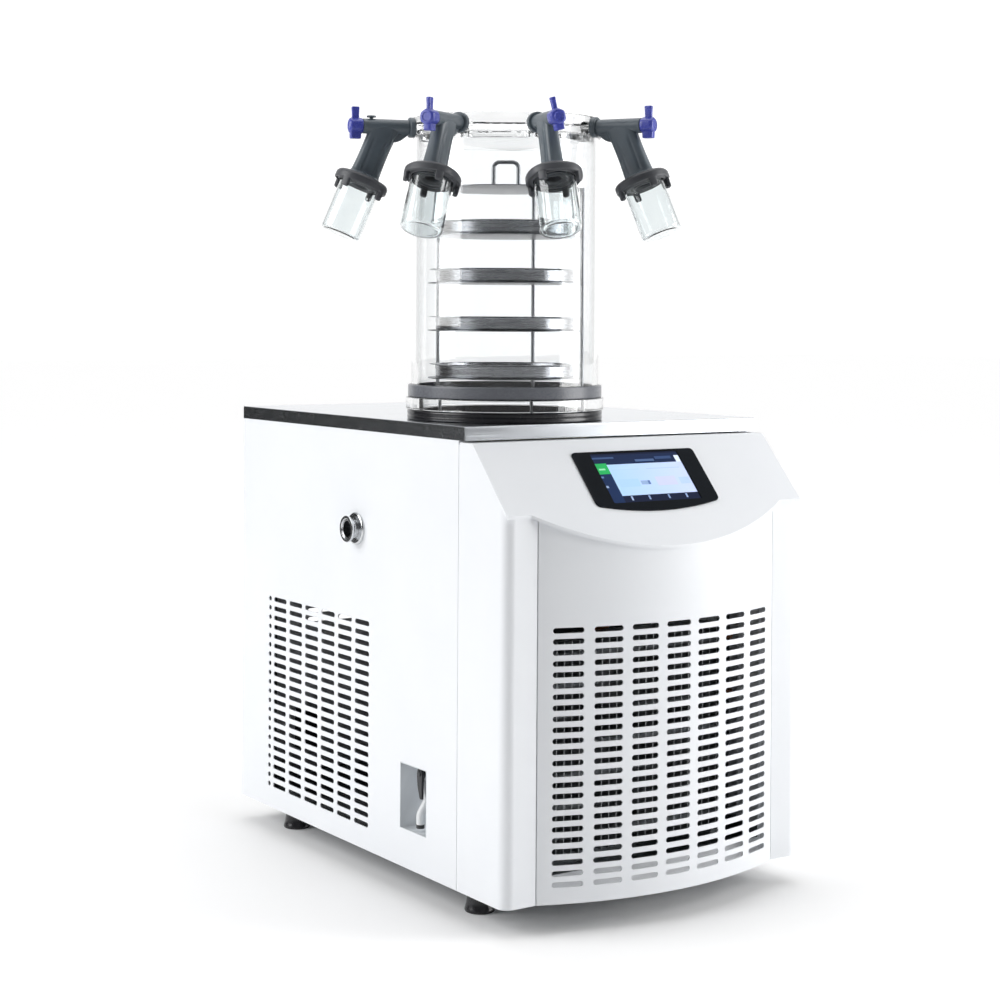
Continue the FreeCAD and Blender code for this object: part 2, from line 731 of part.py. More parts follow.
# ---------------------------------------------------------------------------
# Bowed front grille
# ---------------------------------------------------------------------------
BOW_Y = f"({FRONT} - bow_rise + {BOW})"
GRILLE_X = f"({G} - grille_gap)"
bow_outer = cylinder("bow_outer", BOW, SIDE_HIGH, ("0", BOW_Y, "foot_gap"))
bow_inner = cylinder("bow_inner", f"{BOW} - gauge", SIDE_HIGH, ("0", BOW_Y, "foot_gap"))
bow_limit = box("bow_limit", (f"2*{GRILLE_X}", "2*bow_rise", SIDE_HIGH),
                (f"-{GRILLE_X}", f"{FRONT} - 1.5*bow_rise", "foot_gap"))
bow_sheet = common("bow_sheet", cut("bow_shell", bow_outer, bow_inner), bow_limit)
EDGE_Y = f"({BOW_Y} - sqrt({BOW}^2 - {GRILLE_X}^2))"
grille_edge = box("grille_edge", ("gauge", f"{FRONT} + column_return - {EDGE_Y} - gauge", SIDE_HIGH),
                  (f"-{GRILLE_X}", f"{EDGE_Y} + gauge", "foot_gap"))
grille_tab = box("grille_tab", ("panel_flange", "gauge", f"{SIDE_HIGH} - rail_height"),
                 (f"-{GRILLE_X}-gauge- grille_gap - panel_flange/2 + gauge", f"{FRONT} + column_return", "foot_gap + rail_height"))
left_edge = fuse("grille_left_edge", grille_edge, grille_tab)
front_slots = slot_field("front_slots", int(value("front_slot_columns")), int(value("front_slot_rows")),
                         spot("-(front_slot_columns - 1)*front_slot_step/2", f"{FRONT} - bow_rise/2",
                              "foot_gap + front_slot_low"),
                         value("front_slot_step"), X_AXIS, "bow_rise")
grille_whole = fuse("grille_whole", bow_sheet, left_edge, mirrored("grille_right_edge", left_edge))
node(cut("grille", grille_whole, above_panel("above_grille"), front_slots), "front_grille")

# ---------------------------------------------------------------------------
# Sloping control panel, display bezel and touch display
# ---------------------------------------------------------------------------
panel_strip = slab("panel_strip", "YZ_Plane",
                   [(f"{DECK_FRONT} + panel_tuck", SLOPE_Z), (SLOPE_Y, SLOPE_Z), (FAR_Y, FAR_Z), UNDER_FAR,
                    UNDER_BEND, (f"{DECK_FRONT} + panel_tuck", f"{SLOPE_Z} - panel_gauge")],
                   "body_width")
hood_back = box("hood_back", ("2*body_width", "body_depth", "body_height"),
                ("-body_width", f"{FRONT} - panel_lip", "foot_gap + body_height/3"))
hood_bow = cylinder("hood_bow", HOOD, "body_height", ("0", f"{FRONT} - hood_rise + {HOOD}", "foot_gap + body_height/3"))
panel_sheet = common("panel_sheet", panel_strip, fuse("hood_plan", hood_back, hood_bow))
DISPLAY_Y = f"({SLOPE_Y} - display_down*cos(panel_slope))"
DISPLAY_Z = f"({SLOPE_Z} - display_down*sin(panel_slope))"
DISPLAY_AT = ("0", DISPLAY_Y, DISPLAY_Z)
display_window = box("display_window", ("screen_width + 2*fit_gap", "screen_height + 2*fit_gap", "4*panel_gauge"),
                     ("-screen_width/2 - fit_gap", "-screen_height/2 - fit_gap", "-2*panel_gauge"))
panel_window = tilted(holder("panel_window", display_window), DISPLAY_AT, X_AXIS, "panel_slope")
node(cut("panel", panel_sheet, panel_window), "control_panel")

BEZEL_R = "((bezel_width^2/4 + bezel_bow^2)/(2*bezel_bow))"
bezel_block = slab("bezel_block", "XY_Plane",
                   [("-bezel_width/2", "-bezel_height/2"), ("bezel_width/2", "-bezel_height/2"),
                    ("bezel_width/2", "bezel_height/2"), ("-bezel_width/2", "bezel_height/2")],
                   "bezel_proud", ("0", "0", "bezel_proud/2"))
bezel_belly = cylinder("bezel_belly", BEZEL_R, "bezel_proud", ("0", f"-bezel_height/2 - bezel_bow + {BEZEL_R}", "0"))
belly_limit = box("belly_limit", ("bezel_width", "2*bezel_bow", "bezel_proud"),
                  ("-bezel_width/2", "-bezel_height/2 - 2*bezel_bow", "0"))
bezel_plate = fuse("bezel_plate", bezel_block, common("bezel_smile", bezel_belly, belly_limit))
doc.recompute()
bezel_outline = doc.addObject("Part::Fillet", "bezel_outline")
bezel_outline.Base = bezel_plate
corner_edges = [n for n, edge in enumerate(bezel_plate.Shape.Edges, start=1)
                if edge.BoundBox.ZLength > 1 and edge.BoundBox.XLength < 0.01 and edge.BoundBox.YMin > 0]
bezel_outline.Edges = [(n, value("bezel_rounding"), value("bezel_rounding")) for n in corner_edges]
bezel_window = box("bezel_window", ("screen_width + 2*fit_gap", "screen_height + 2*fit_gap", "4*bezel_proud"),
                   ("-screen_width/2 - fit_gap", "-screen_height/2 - fit_gap", "-bezel_proud"))
node(tilted(cut("bezel", bezel_outline, bezel_window), DISPLAY_AT, X_AXIS, "panel_slope"), "display_bezel")

screen_face = box("screen_face", ("screen_width", "screen_height", "panel_gauge + bezel_proud/2"),
                  ("-screen_width/2", "-screen_height/2", "-panel_gauge"))
screen_back = box("screen_back", ("module_width", "module_height", "module_depth"),
                  ("-module_width/2", "-module_height/2", "-panel_gauge - module_depth"))
node(tilted(fuse("display", screen_face, screen_back), DISPLAY_AT, X_AXIS, "panel_slope"), "touch_display")

# ---------------------------------------------------------------------------
# Chamber stack on the deck
# ---------------------------------------------------------------------------
AT_DECK = (AXIS_X, AXIS_Y, DECK_TOP)


def ring(name, inner, outer, height, at):
    """A plain ring turned about the chamber axis."""
    return turned(name, [(inner, "0"), (outer, "0"), (outer, height), (inner, height)], at)


trap_gasket = ring("trap_seal", "trap_gasket_inner", "trap_gasket_outer", "trap_gasket_height", AT_DECK)
rounded(trap_gasket, "trap_gasket_height/3",
        lambda edge: circle_at("trap_gasket_outer", "0")(edge)
        or circle_at("trap_gasket_outer", "trap_gasket_height")(edge))
node(trap_gasket, "trap_gasket")

base_ring = ring("clear_ring", "base_ring_inner", "base_ring_outer", "base_ring_height",
                 (AXIS_X, AXIS_Y, RING_LOW))
rounded(base_ring, "base_ring_height/12",
        lambda edge: circle_at("base_ring_outer", "0")(edge)
        or circle_at("base_ring_outer", "base_ring_height")(edge))
node(base_ring, "chamber_base_ring")

INSIDE = "(cylinder_outer - cylinder_wall)"
node(turned("chamber_seal",
            [(f"{INSIDE} - chamber_gasket_lap", "0"), ("chamber_gasket_outer", "0"),
             ("chamber_gasket_outer", "chamber_gasket_height"), ("cylinder_outer", "chamber_gasket_height"),
             ("cylinder_outer", "chamber_gasket_web"), (f"{INSIDE} - chamber_gasket_lap", "chamber_gasket_web")],
            (AXIS_X, AXIS_Y, GASKET_LOW)), "chamber_gasket")

node(ring("clear_cylinder", INSIDE, "cylinder_outer", "cylinder_height", (AXIS_X, AXIS_Y, CYLINDER_LOW)),
     "drying_chamber")

lid = turned("lid_disc",
             [("0", "-lid_spigot"), (f"{INSIDE} - spigot_gap", "-lid_spigot"), (f"{INSIDE} - spigot_gap", "0"),
              ("lid_outer", "0"), ("lid_outer", "lid_thick"), ("0", "lid_thick")],
             (AXIS_X, AXIS_Y, LID_LOW))
rounded(lid, "lid_thick/13",
        lambda edge: circle_at("lid_outer", "0")(edge) or circle_at("lid_outer", "lid_thick")(edge))
ARMS = range(4)
lid_bores = []
for index in ARMS:
    port = cylinder(f"lid_port_{index}", "port_radius", "2*port_depth", ("lid_outer - port_depth", "0", "0"), "X")
    drop = cylinder(f"lid_drop_{index}", "port_drop_radius", "lid_spigot + arm_low + 1",
                    ("lid_outer - port_depth + port_radius", "0", "-lid_spigot - arm_low - 1"))
    lid_bores.append(place(fuse(f"lid_bore_{index}", port, drop), (AXIS_X, AXIS_Y, ARM_LEVEL), Z_AXIS,
                           f"arm_first + {index}*arm_step"))
node(cut("lid_with_ports", lid, *lid_bores), "manifold_lid")

# ---------------------------------------------------------------------------
# Tray rack, its handle and the four trays
# ---------------------------------------------------------------------------
ROD_AT = "(rack_radius + rack_rod - rack_rod_bury)"
SHELVES = range(int(value("shelf_count")))
RACK_TOP = "(shelf_low + shelf_count*shelf_pitch)"
rack_pieces = [ring("rack_foot", "rack_base_inner", "rack_radius", "rack_base_thick", AT_DECK)]
for index in list(SHELVES) + [len(SHELVES)]:
    rack_pieces.append(cylinder(f"rack_plate_{index}", "rack_radius", "rack_plate",
                                (AXIS_X, AXIS_Y, f"{DECK_TOP} + shelf_low + {index}*shelf_pitch")))
for index in range(3):
    angle = f"(rack_rod_first + {index}*rack_rod_step)"
    rack_pieces.append(cylinder(f"rack_rod_{index}", "rack_rod", f"{RACK_TOP} + rack_plate",
                                (f"{AXIS_X} + {ROD_AT}*cos{angle}", f"{AXIS_Y} + {ROD_AT}*sin{angle}", DECK_TOP)))

span = value("handle_span")
rise = value("handle_height")
loop = rod_along([Vector(-span / 2, 0, 0), Vector(-span / 2, 0, rise), Vector(span / 2, 0, rise),
                  Vector(span / 2, 0, 0)], value("handle_rod"), span / 4)
handle_loop = shaped("handle_loop", loop)
handle_feet = [cylinder(f"handle_foot_{side}", "handle_foot", "handle_foot_thick",
                        (f"{side}*handle_span/2", "0", "0")) for side in (-1, 1)]
HANDLE_LOW = f"({DECK_TOP} + {RACK_TOP} + rack_plate)"
handle = tilted(fuse("handle", handle_loop, *handle_feet), (AXIS_X, AXIS_Y, HANDLE_LOW), Z_AXIS, "handle_turn")
node(fuse("rack", *rack_pieces, handle), "tray_rack")

TRAY_RIM = "(rack_radius - rack_rod_bury - fit_gap)"
for index in SHELVES:
    height = f"{DECK_TOP} + shelf_low + rack_plate + {index}*shelf_pitch"
    tray = turned(f"tray_dish_{index}",
                  [("0", "0"), ("tray_base", "0"), ("tray_base + tray_draft", "tray_height - tray_wall"),
                   (TRAY_RIM, "tray_height - tray_wall"), (TRAY_RIM, "tray_height"),
                   ("tray_base + tray_draft - tray_wall", "tray_height"),
                   ("tray_base - tray_wall", "tray_wall"), ("0", "tray_wall")],
                  (AXIS_X, AXIS_Y, height))
    node(tray, f"tray_{index + 1}")

# ---------------------------------------------------------------------------
# Valve arms: collar, body, knob with plug, flask cap and flask
# ---------------------------------------------------------------------------
COLLAR_START = "lid_outer"
BODY_START = "(lid_outer + arm_collar_long)"
collars = []
for index in ARMS:
    turn = f"arm_first + {index}*arm_step"
    at_axis = (AXIS_X, AXIS_Y, ARM_LEVEL)
    nut = cylinder(f"collar_nut_{index}", "arm_collar", "arm_collar_long", (COLLAR_START, "0", "0"), "X")
    spigot = cylinder(f"collar_spigot_{index}", "port_radius - fit_gap/3", "port_depth - 2",
                      (f"{COLLAR_START} - port_depth + 2", "0", "0"), "X")
    passage = cylinder(f"collar_bore_{index}", "arm_bore", "2*arm_end", ("0", "0", "0"), "X")
    collars.append(tilted(cut(f"collar_{index}", fuse(f"collar_whole_{index}", nut, spigot), passage),
                          at_axis, Z_AXIS, turn))

    tube = cylinder(f"arm_tube_{index}", "arm_tube", f"arm_end - {BODY_START}", (BODY_START, "0", "0"), "X")
    sides = [cylinder(f"neck_side_{index}_{side}", "neck_half", "neck_long", (f"{side}*neck_web/2", "0", "-neck_long"))
             for side in (-1, 1)]
    web = box(f"neck_web_{index}", ("neck_web", "2*neck_half", "neck_long"), ("-neck_web/2", "-neck_half", "-neck_long"))
    tip = cylinder(f"neck_tip_{index}", "neck_tip", "cap_thick - 1", ("0", "0", "-neck_long - cap_thick + 1"))
    neck_start = ("neck_start", "0", "0")
    neck = place(fuse(f"neck_{index}", *sides, web, tip), neck_start, Y_AXIS, "-neck_angle")
    above = box(f"above_arm_{index}", ("arm_end", "4*neck_half", "neck_long"), ("0", "-2*neck_half", "0"))
    lower_neck = cut(f"lower_neck_{index}", neck, above)
    gusset = box(f"gusset_{index}", (f"neck_start - {BODY_START} + neck_web/2", "gusset_thick", "gusset_drop"),
                 (BODY_START, "-gusset_thick/2", "-gusset_drop"))
    arm_passage = cylinder(f"arm_bore_{index}", "arm_bore", "2*arm_end", ("0", "0", "0"), "X")
    plug_bore = cylinder(f"plug_bore_{index}", "plug_radius + running_gap", "arm_end", ("plug_start - fit_gap", "0", "0"), "X")
    drop_bore = place(cylinder(f"neck_bore_{index}", "neck_bore", "2*neck_long", ("0", "0", "-2*neck_long")),
                      ("0", "0", "0"))
    drop_turned = tilted(holder(f"neck_bore_turned_{index}", drop_bore), neck_start, Y_AXIS, "-neck_angle")
    body = cut(f"arm_{index}", fuse(f"arm_whole_{index}", tube, lower_neck, gusset), arm_passage, plug_bore, drop_turned)
    node(tilted(body, at_axis, Z_AXIS, turn), f"valve_body_{index + 1}")

    plug = cylinder(f"plug_{index}", "plug_radius", "arm_end + knob_gap + 1 - plug_start", ("plug_start", "0", "0"), "X")
    grip = cylinder(f"knob_grip_{index}", "knob_radius", "knob_long", ("arm_end + knob_gap", "0", "0"), "X")
    lever = box(f"knob_lever_{index}", ("lever_long", "lever_thick", "knob_radius + lever_height"),
                ("arm_end + knob_gap + (knob_long - lever_long)/2", "-lever_thick/2", "0"))
    lug = box(f"knob_lug_{index}", ("knob_long - 2*lug_inset", "lug_wide", "lug_drop"),
              ("arm_end + knob_gap + lug_inset", "-lug_wide/2", "-lug_drop"))
    plug_way = cylinder(f"plug_way_{index}", "arm_bore - 2", "neck_start - plug_start + arm_bore",
                        ("plug_start - 1", "0", "0"), "X")
    plug_side = cylinder(f"plug_side_{index}", "arm_bore - 2", "2*plug_radius", ("neck_start", "0", "-2*plug_radius"))
    knob = cut(f"knob_{index}", fuse(f"knob_whole_{index}", plug, grip, lever, lug), plug_way, plug_side)
    rest = "lever_tilt" if index == 2 else "0"
    twisted = tilted(holder(f"knob_turned_{index}", knob), ("0", "0", "0"), X_AXIS, rest)
    node(tilted(holder(f"knob_set_{index}", twisted), at_axis, Z_AXIS, turn), f"valve_knob_{index + 1}")

    disc = turned(f"cap_disc_{index}",
                  [("cap_hole", "-cap_thick"), ("flask_radius - flask_wall - fit_gap/3", "-cap_thick"),
                   ("flask_radius - flask_wall - fit_gap/3", "cap_groove - cap_thick"),
                   ("flask_radius + fit_gap/3", "cap_groove - cap_thick"), ("flask_radius + fit_gap/3", "-cap_thick"),
                   ("cap_radius", "-cap_thick"), ("cap_radius", "-cap_thick/4"), ("cap_radius - cap_thick/4", "0"),
                   ("cap_hole", "0")])
    claws = []
    for claw in range(int(value("claw_count"))):
        block = box(f"claw_{index}_{claw}", ("claw_thick", "claw_width", "claw_drop + cap_thick/2"),
                    ("cap_radius - claw_thick", "-claw_width/2", "-cap_thick - claw_drop"))
        claws.append(tilted(holder(f"claw_set_{index}_{claw}", block), ("0", "0", "0"), Z_AXIS,
                            f"45 + {claw}*360/claw_count"))
    cap = tilted(fuse(f"cap_{index}", disc, *claws), (CAP_X, "0", CAP_Z), Y_AXIS, "-neck_angle")
    node(tilted(holder(f"cap_set_{index}", cap), at_axis, Z_AXIS, turn), f"flask_cap_{index + 1}")

    FLASK_TOP = "(cap_groove - cap_thick)"
    flask = turned(f"flask_bottle_{index}",
                   [("0", "-flask_height"), ("flask_radius", "-flask_height"), ("flask_radius", "0"),
                    ("flask_radius - flask_wall", "0"), ("flask_radius - flask_wall", "flask_wall - flask_height"),
                    ("0", "flask_wall - flask_height")])
    rounded(flask, "flask_rounding", circle_at("flask_radius", "-flask_height"))
    rounded(flask, "flask_rounding - flask_wall", circle_at("flask_radius - flask_wall", "flask_wall - flask_height"))
    place(flask, ("0", "0", FLASK_TOP))
    hung = tilted(holder(f"flask_hung_{index}", flask), (CAP_X, "0", CAP_Z), Y_AXIS, "-neck_angle")
    node(tilted(holder(f"flask_set_{index}", hung), at_axis, Z_AXIS, turn), f"flask_{index + 1}")
node(holder("collars", *collars), "arm_collars")

# ---------------------------------------------------------------------------
# Cold trap: pot, evaporator coil and insulation jacket
# ---------------------------------------------------------------------------
POT = "(trap_radius + trap_wall)"
pot = turned("pot",
             [("0", "-trap_depth"), (POT, "-trap_depth"), (POT, "-deck_gauge - trap_wall"),
              ("trap_flange", "-deck_gauge - trap_wall"), ("trap_flange", "-deck_gauge"), (POT, "-deck_gauge"),
              (POT, "0"), ("trap_radius", "0"), ("trap_radius", "trap_wall - trap_depth"),
              ("0", "trap_wall - trap_depth")], AT_DECK)
PIPE_X = f"({AXIS_X} - pipe_side)"
pipe_mouth = cylinder("pipe_mouth", "pipe_radius - pipe_wall", "trap_radius", (PIPE_X, AXIS_Y, PORT_Z), "Y")
drain_mouth = cylinder("drain_mouth", "drain_tube - 1", "4*trap_wall",
                       (AXIS_X, DRAIN_Y, f"{DECK_TOP} - trap_depth - trap_wall"))
node(cut("trap_pot", pot, pipe_mouth, drain_mouth), "cold_trap")

COIL_R = f"({POT} + coil_tube + fit_gap/3)"
COIL_Z = f"({DECK_TOP} - coil_top_drop - coil_height)"
coil_radius = value(COIL_R)
helix = Part.makeHelix(value("coil_pitch"), value("coil_height"), coil_radius)
coil_mouth = Part.Wire(Part.makeCircle(value("coil_tube"), Vector(coil_radius, 0, 0), Y_AXIS))
coil_solid = Part.Wire(helix).makePipeShell([coil_mouth], True, True)
coil = shaped("coil", coil_solid)
node(place(coil, (AXIS_X, AXIS_Y, COIL_Z)), "evaporator_coil")

jacket = turned("jacket",
                [("0", "-trap_depth - jacket_floor"), ("jacket_outer", "-trap_depth - jacket_floor"),
                 ("jacket_outer", "-deck_edge"), ("jacket_inner", "-deck_edge"), ("jacket_inner", "-trap_depth"),
                 ("0", "-trap_depth")], AT_DECK)
pipe_way = cylinder("pipe_way", "pipe_radius + fit_gap", "2*jacket_outer", (PIPE_X, AXIS_Y, PORT_Z), "Y")
drain_way = cylinder("drain_way", "drain_tube + fit_gap", "4*jacket_floor",
                     (AXIS_X, DRAIN_Y, f"{DECK_TOP} - trap_depth - 2*jacket_floor"))
LINE_X = f"({AXIS_X} + {COIL_R})"
COIL_END = f"({COIL_Z} + coil_height)"
suction_way = cylinder("suction_way", "line_radius + 1", "2*jacket_outer", (LINE_X, AXIS_Y, COIL_END), "Y")
liquid_way = cylinder("liquid_way", "line_radius + 1", "jacket_outer",
                      (LINE_X, f"{AXIS_Y} - jacket_outer", COIL_Z), "Y")
node(cut("jacket_drilled", jacket, pipe_way, drain_way, suction_way, liquid_way), "trap_insulation")

# ---------------------------------------------------------------------------
# Vacuum pipe and port
# ---------------------------------------------------------------------------
way_out = -value(HALF)
pipe_start = value(f"{AXIS_Y} + sqrt({POT}^2 - pipe_side^2)")
pipe_points = [spot(PIPE_X, f"{AXIS_Y} + sqrt(({POT} + fit_gap/3)^2 - (pipe_side - pipe_radius)^2)", PORT_Z),
               spot(PIPE_X, PORT_Y, PORT_Z), spot(f"-{HALF} + nipple_in", PORT_Y, PORT_Z)]
pipe_shape = rod_along(pipe_points, value("pipe_radius"), value("pipe_bend"), value("pipe_radius - pipe_wall"))
node(shaped("pipe", pipe_shape), "vacuum_pipe")

escutcheon = cylinder("escutcheon", "escutcheon_radius", "escutcheon_thick", ("0", "0", "0"))
port_tube = turned("port_tube",
                   [("pipe_radius - pipe_wall", "-nipple_in"), ("pipe_radius", "-nipple_in"),
                    ("pipe_radius", "nipple_out - nipple_flange_thick - nipple_taper"),
                    ("nipple_flange", "nipple_out - nipple_flange_thick"), ("nipple_flange", "nipple_out"),
                    ("pipe_radius - pipe_wall", "nipple_out")])
port_clear = cylinder("port_clear", "pipe_radius - pipe_wall", "escutcheon_thick", ("0", "0", "0"))
port_whole = fuse("port_whole", cut("escutcheon_ring", escutcheon, port_clear), port_tube)
node(tilted(port_whole, (f"-{HALF}", PORT_Y, PORT_Z), Y_AXIS, "-90"), "vacuum_port")

# ---------------------------------------------------------------------------
# Drain recess, valve, lever and tube
# ---------------------------------------------------------------------------
recess_outer = box("recess_outer", ("recess_depth", "recess_width", "recess_height"),
                   (f"-{HALF}", f"{RECESS_Y} - recess_width/2", f"{RECESS_Z} - recess_height/2"))
recess_inner = box("recess_inner", ("recess_depth - gauge", "recess_width - 2*gauge", "recess_height - 2*gauge"),
                   (f"-{HALF}", f"{RECESS_Y} - recess_width/2 + gauge", f"{RECESS_Z} - recess_height/2 + gauge"))
drain_hole = cylinder("drain_hole", "drain_tube + fit_gap", "recess_depth", (f"-{HALF} + recess_depth/2", DRAIN_Y, DRAIN_Z), "X")
node(cut("recess", recess_outer, recess_inner, drain_hole), "drain_recess_box")

DRAIN_END = f"({RECESS_BACK} - gauge)"
valve_block = cylinder("drain_block", "drain_body", "drain_body_long", (DRAIN_END, DRAIN_Y, DRAIN_Z), "-X")
valve_stem = cylinder("drain_stem_rod", "drain_stem", "drain_body_long + drain_stem_long", (DRAIN_END, DRAIN_Y, DRAIN_Z), "-X")
SPOUT_X = f"({DRAIN_END} - drain_spout_in)"
SPOUT_OUT = f"({SPOUT_X} - drain_spout_step)"
spout_points = [spot(SPOUT_X, DRAIN_Y, DRAIN_Z), spot(SPOUT_X, DRAIN_Y, f"{DRAIN_Z} - drain_spout_knee"),
                spot(SPOUT_OUT, DRAIN_Y, f"{DRAIN_Z} - drain_spout_knee - 1.5*drain_spout_step"),
                spot(SPOUT_OUT, DRAIN_Y, f"{DRAIN_Z} - drain_spout_drop")]
spout_bend = value("drain_spout_bend")
spout = shaped("drain_spout_tube", rod_along(spout_points, value("drain_spout"), spout_bend))
drain_in = cylinder("drain_in", "drain_bore", "drain_spout_in", (DRAIN_END, DRAIN_Y, DRAIN_Z), "-X")
drain_down = shaped("drain_down", rod_along(spout_points, value("drain_bore"), spout_bend))
node(cut("drain_valve", fuse("drain_whole", valve_block, valve_stem, spout), drain_in, drain_down), "drain_valve_body")

LEVER_X = f"({DRAIN_END} - drain_body_long - knob_gap)"
drain_hub = cylinder("drain_hub_disc", "drain_hub", "drain_hub_long", (LEVER_X, DRAIN_Y, DRAIN_Z), "-X")
drain_handle = box("drain_handle", ("drain_lever_thick", "drain_lever_width", "drain_lever_long"),
                   (f"{LEVER_X} - drain_hub_long", f"{DRAIN_Y} - drain_lever_width/2", f"{DRAIN_Z} - drain_lever_long"))
stem_bore = cylinder("stem_bore", "drain_stem + running_gap", "4*drain_hub_long", (f"{LEVER_X} + 1", DRAIN_Y, DRAIN_Z), "-X")
node(cut("drain_lever", fuse("drain_lever_whole", drain_hub, drain_handle), stem_bore), "drain_valve_lever")

drain_points = [spot(AXIS_X, DRAIN_Y, f"{DECK_TOP} - trap_depth"), spot(AXIS_X, DRAIN_Y, DRAIN_Z),
                spot(DRAIN_END, DRAIN_Y, DRAIN_Z)]
node(shaped("drain_pipe", rod_along(drain_points, value("drain_tube"), value("drain_tube_bend"),
                                    value("drain_tube - 1"))), "drain_tube")

# ---------------------------------------------------------------------------
# Refrigeration: compressor, condenser, fan and lines
# ---------------------------------------------------------------------------
COMP_X = f"({LINE_X} + stub_offset)"
COMP_Y = f"({BACK} - compressor_back)"
COMP_Z = f"({PAN_FLOOR} + compressor_lift + compressor_plate)"
can = turned("can",
             [("0", "0"), ("compressor_radius - compressor_dome/2", "0"), ("compressor_radius", "compressor_dome/2"),
              ("compressor_radius", "compressor_height - compressor_dome"),
              ("compressor_radius - compressor_dome", "compressor_height"), ("0", "compressor_height")],
             (COMP_X, COMP_Y, COMP_Z))
can_plate = box("can_plate", ("compressor_foot", "compressor_foot", "compressor_plate"),
                (f"{COMP_X} - compressor_foot/2", f"{COMP_Y} - compressor_foot/2", f"{COMP_Z} - compressor_plate"))
stubs = [cylinder(f"stub_{side + 1}", "stub_radius", "stub_height + compressor_dome",
                  (f"{COMP_X} + {side}*stub_offset", COMP_Y, f"{COMP_Z} + compressor_height - compressor_dome"))
         for side in (-1, 1)]
node(fuse("compressor_whole", can, can_plate, *stubs), "compressor")
STUB_Z = f"({COMP_Z} + compressor_height + stub_height)"

grommets = []
for step_x in (-1, 1):
    for step_y in (-1, 1):
        grommets.append(cylinder(f"grommet_{step_x + 1}_{step_y + 1}", "compressor_lift", "compressor_lift",
                                 (f"{COMP_X} + {step_x}*(compressor_foot/2 - 1.5*compressor_lift)",
                                  f"{COMP_Y} + {step_y}*(compressor_foot/2 - 1.5*compressor_lift)", PAN_FLOOR)))
node(holder("grommets", *grommets), "compressor_grommets")

fins = []
FIN_STEP = "((condenser_width - fin_thick)/(fin_count - 1))"
for index in range(int(value("fin_count"))):
    fins.append(box(f"fin_{index}", ("fin_thick", "condenser_depth", "condenser_height"),
                    (f"-condenser_width/2 + {index}*{FIN_STEP}", CONDENSER_Y, CONDENSER_Z)))
TUBE_STEP = "(condenser_height/condenser_tubes)"
for index in range(int(value("condenser_tubes"))):
    fins.append(cylinder(f"condenser_tube_{index}", "condenser_tube", "condenser_width",
                         ("-condenser_width/2", f"{CONDENSER_Y} + condenser_depth/2",
                          f"{CONDENSER_Z} + {index + 0.5}*{TUBE_STEP}"), "X"))
for side in (-1, 1):
    leg_x = f"{side}*(condenser_width/2 - panel_flange) - panel_flange/2"
    fins.append(box(f"condenser_leg_{side + 1}", ("panel_flange", "condenser_depth", f"{CONDENSER_Z} - {PAN_FLOOR}"),
                    (leg_x, CONDENSER_Y, PAN_FLOOR)))
node(fuse("condenser_core", *fins), "condenser")

SHROUD_Y = f"({CONDENSER_Y} + condenser_depth)"
hood = box("fan_hood", ("condenser_width", "shroud_depth", "condenser_height"), ("-condenser_width/2", SHROUD_Y, CONDENSER_Z))
hood_in = box("fan_hood_in", ("condenser_width - 2*gauge", "shroud_depth - gauge", "condenser_height - 2*gauge"),
              ("-condenser_width/2 + gauge", SHROUD_Y, f"{CONDENSER_Z} + gauge"))
hood_hole = cylinder("fan_hood_hole", "fan_radius + fan_gap", "2*shroud_depth", ("0", SHROUD_Y, FAN_LEVEL), "Y")
struts = [box(f"fan_strut_{turn}", size, at) for turn, size, at in (
    ("x", ("condenser_width", "gauge", "strut_width"), ("-condenser_width/2", FAN_Y, f"{FAN_LEVEL} - strut_width/2")),
    ("z", ("strut_width", "gauge", "condenser_height"), ("-strut_width/2", FAN_Y, CONDENSER_Z)))]
shaft_hole = cylinder("strut_hole", "shaft_radius + 1", "2*shroud_depth", ("0", SHROUD_Y, FAN_LEVEL), "Y")
node(cut("shroud", fuse("shroud_whole", cut("hood_open", hood, hood_in, hood_hole), *struts), shaft_hole), "fan_shroud")

MOTOR_Y = f"({FAN_Y} + gauge)"
motor_can = cylinder("motor_can", "motor_radius", "motor_long", ("0", MOTOR_Y, FAN_LEVEL), "Y")
motor_bore = cylinder("motor_bore", "shaft_radius + running_gap", "motor_long/2", ("0", MOTOR_Y, FAN_LEVEL), "Y")
node(cut("motor", motor_can, motor_bore), "fan_motor")

FAN_MID = f"({FAN_Y} - shroud_depth/2)"
hub = cylinder("fan_hub_disc", "fan_hub", "fan_hub_long", ("0", f"{FAN_MID} - fan_hub_long/2", FAN_LEVEL), "Y")
shaft = cylinder("fan_shaft", "shaft_radius", f"{MOTOR_Y} - {FAN_MID} + motor_long/2 - 1", ("0", FAN_MID, FAN_LEVEL), "Y")
blades = []
for index in range(int(value("blade_count"))):
    blade = box(f"blade_{index}", ("blade_chord", "blade_thick", "fan_radius - fan_hub/2"),
                ("-blade_chord/2", "-blade_thick/2", "fan_hub/2"))
    pitched = tilted(holder(f"blade_pitched_{index}", blade), ("0", "0", "0"), Z_AXIS, "blade_pitch")
    blades.append(tilted(holder(f"blade_set_{index}", pitched), ("0", FAN_MID, FAN_LEVEL), Y_AXIS,
                         f"{index}*360/blade_count"))
node(fuse("impeller", hub, shaft, *blades), "fan_impeller")

bend = value("line_bend")
line = value("line_radius")
suction_points = [spot(LINE_X, AXIS_Y, COIL_END), spot(LINE_X, COMP_Y, COIL_END),
                  spot(LINE_X, COMP_Y, STUB_Z)]
suction_points[0] = suction_points[0] + Vector(0, value("coil_tube"), 0)
node(shaped("suction", rod_along(suction_points, line, bend)), "suction_line")

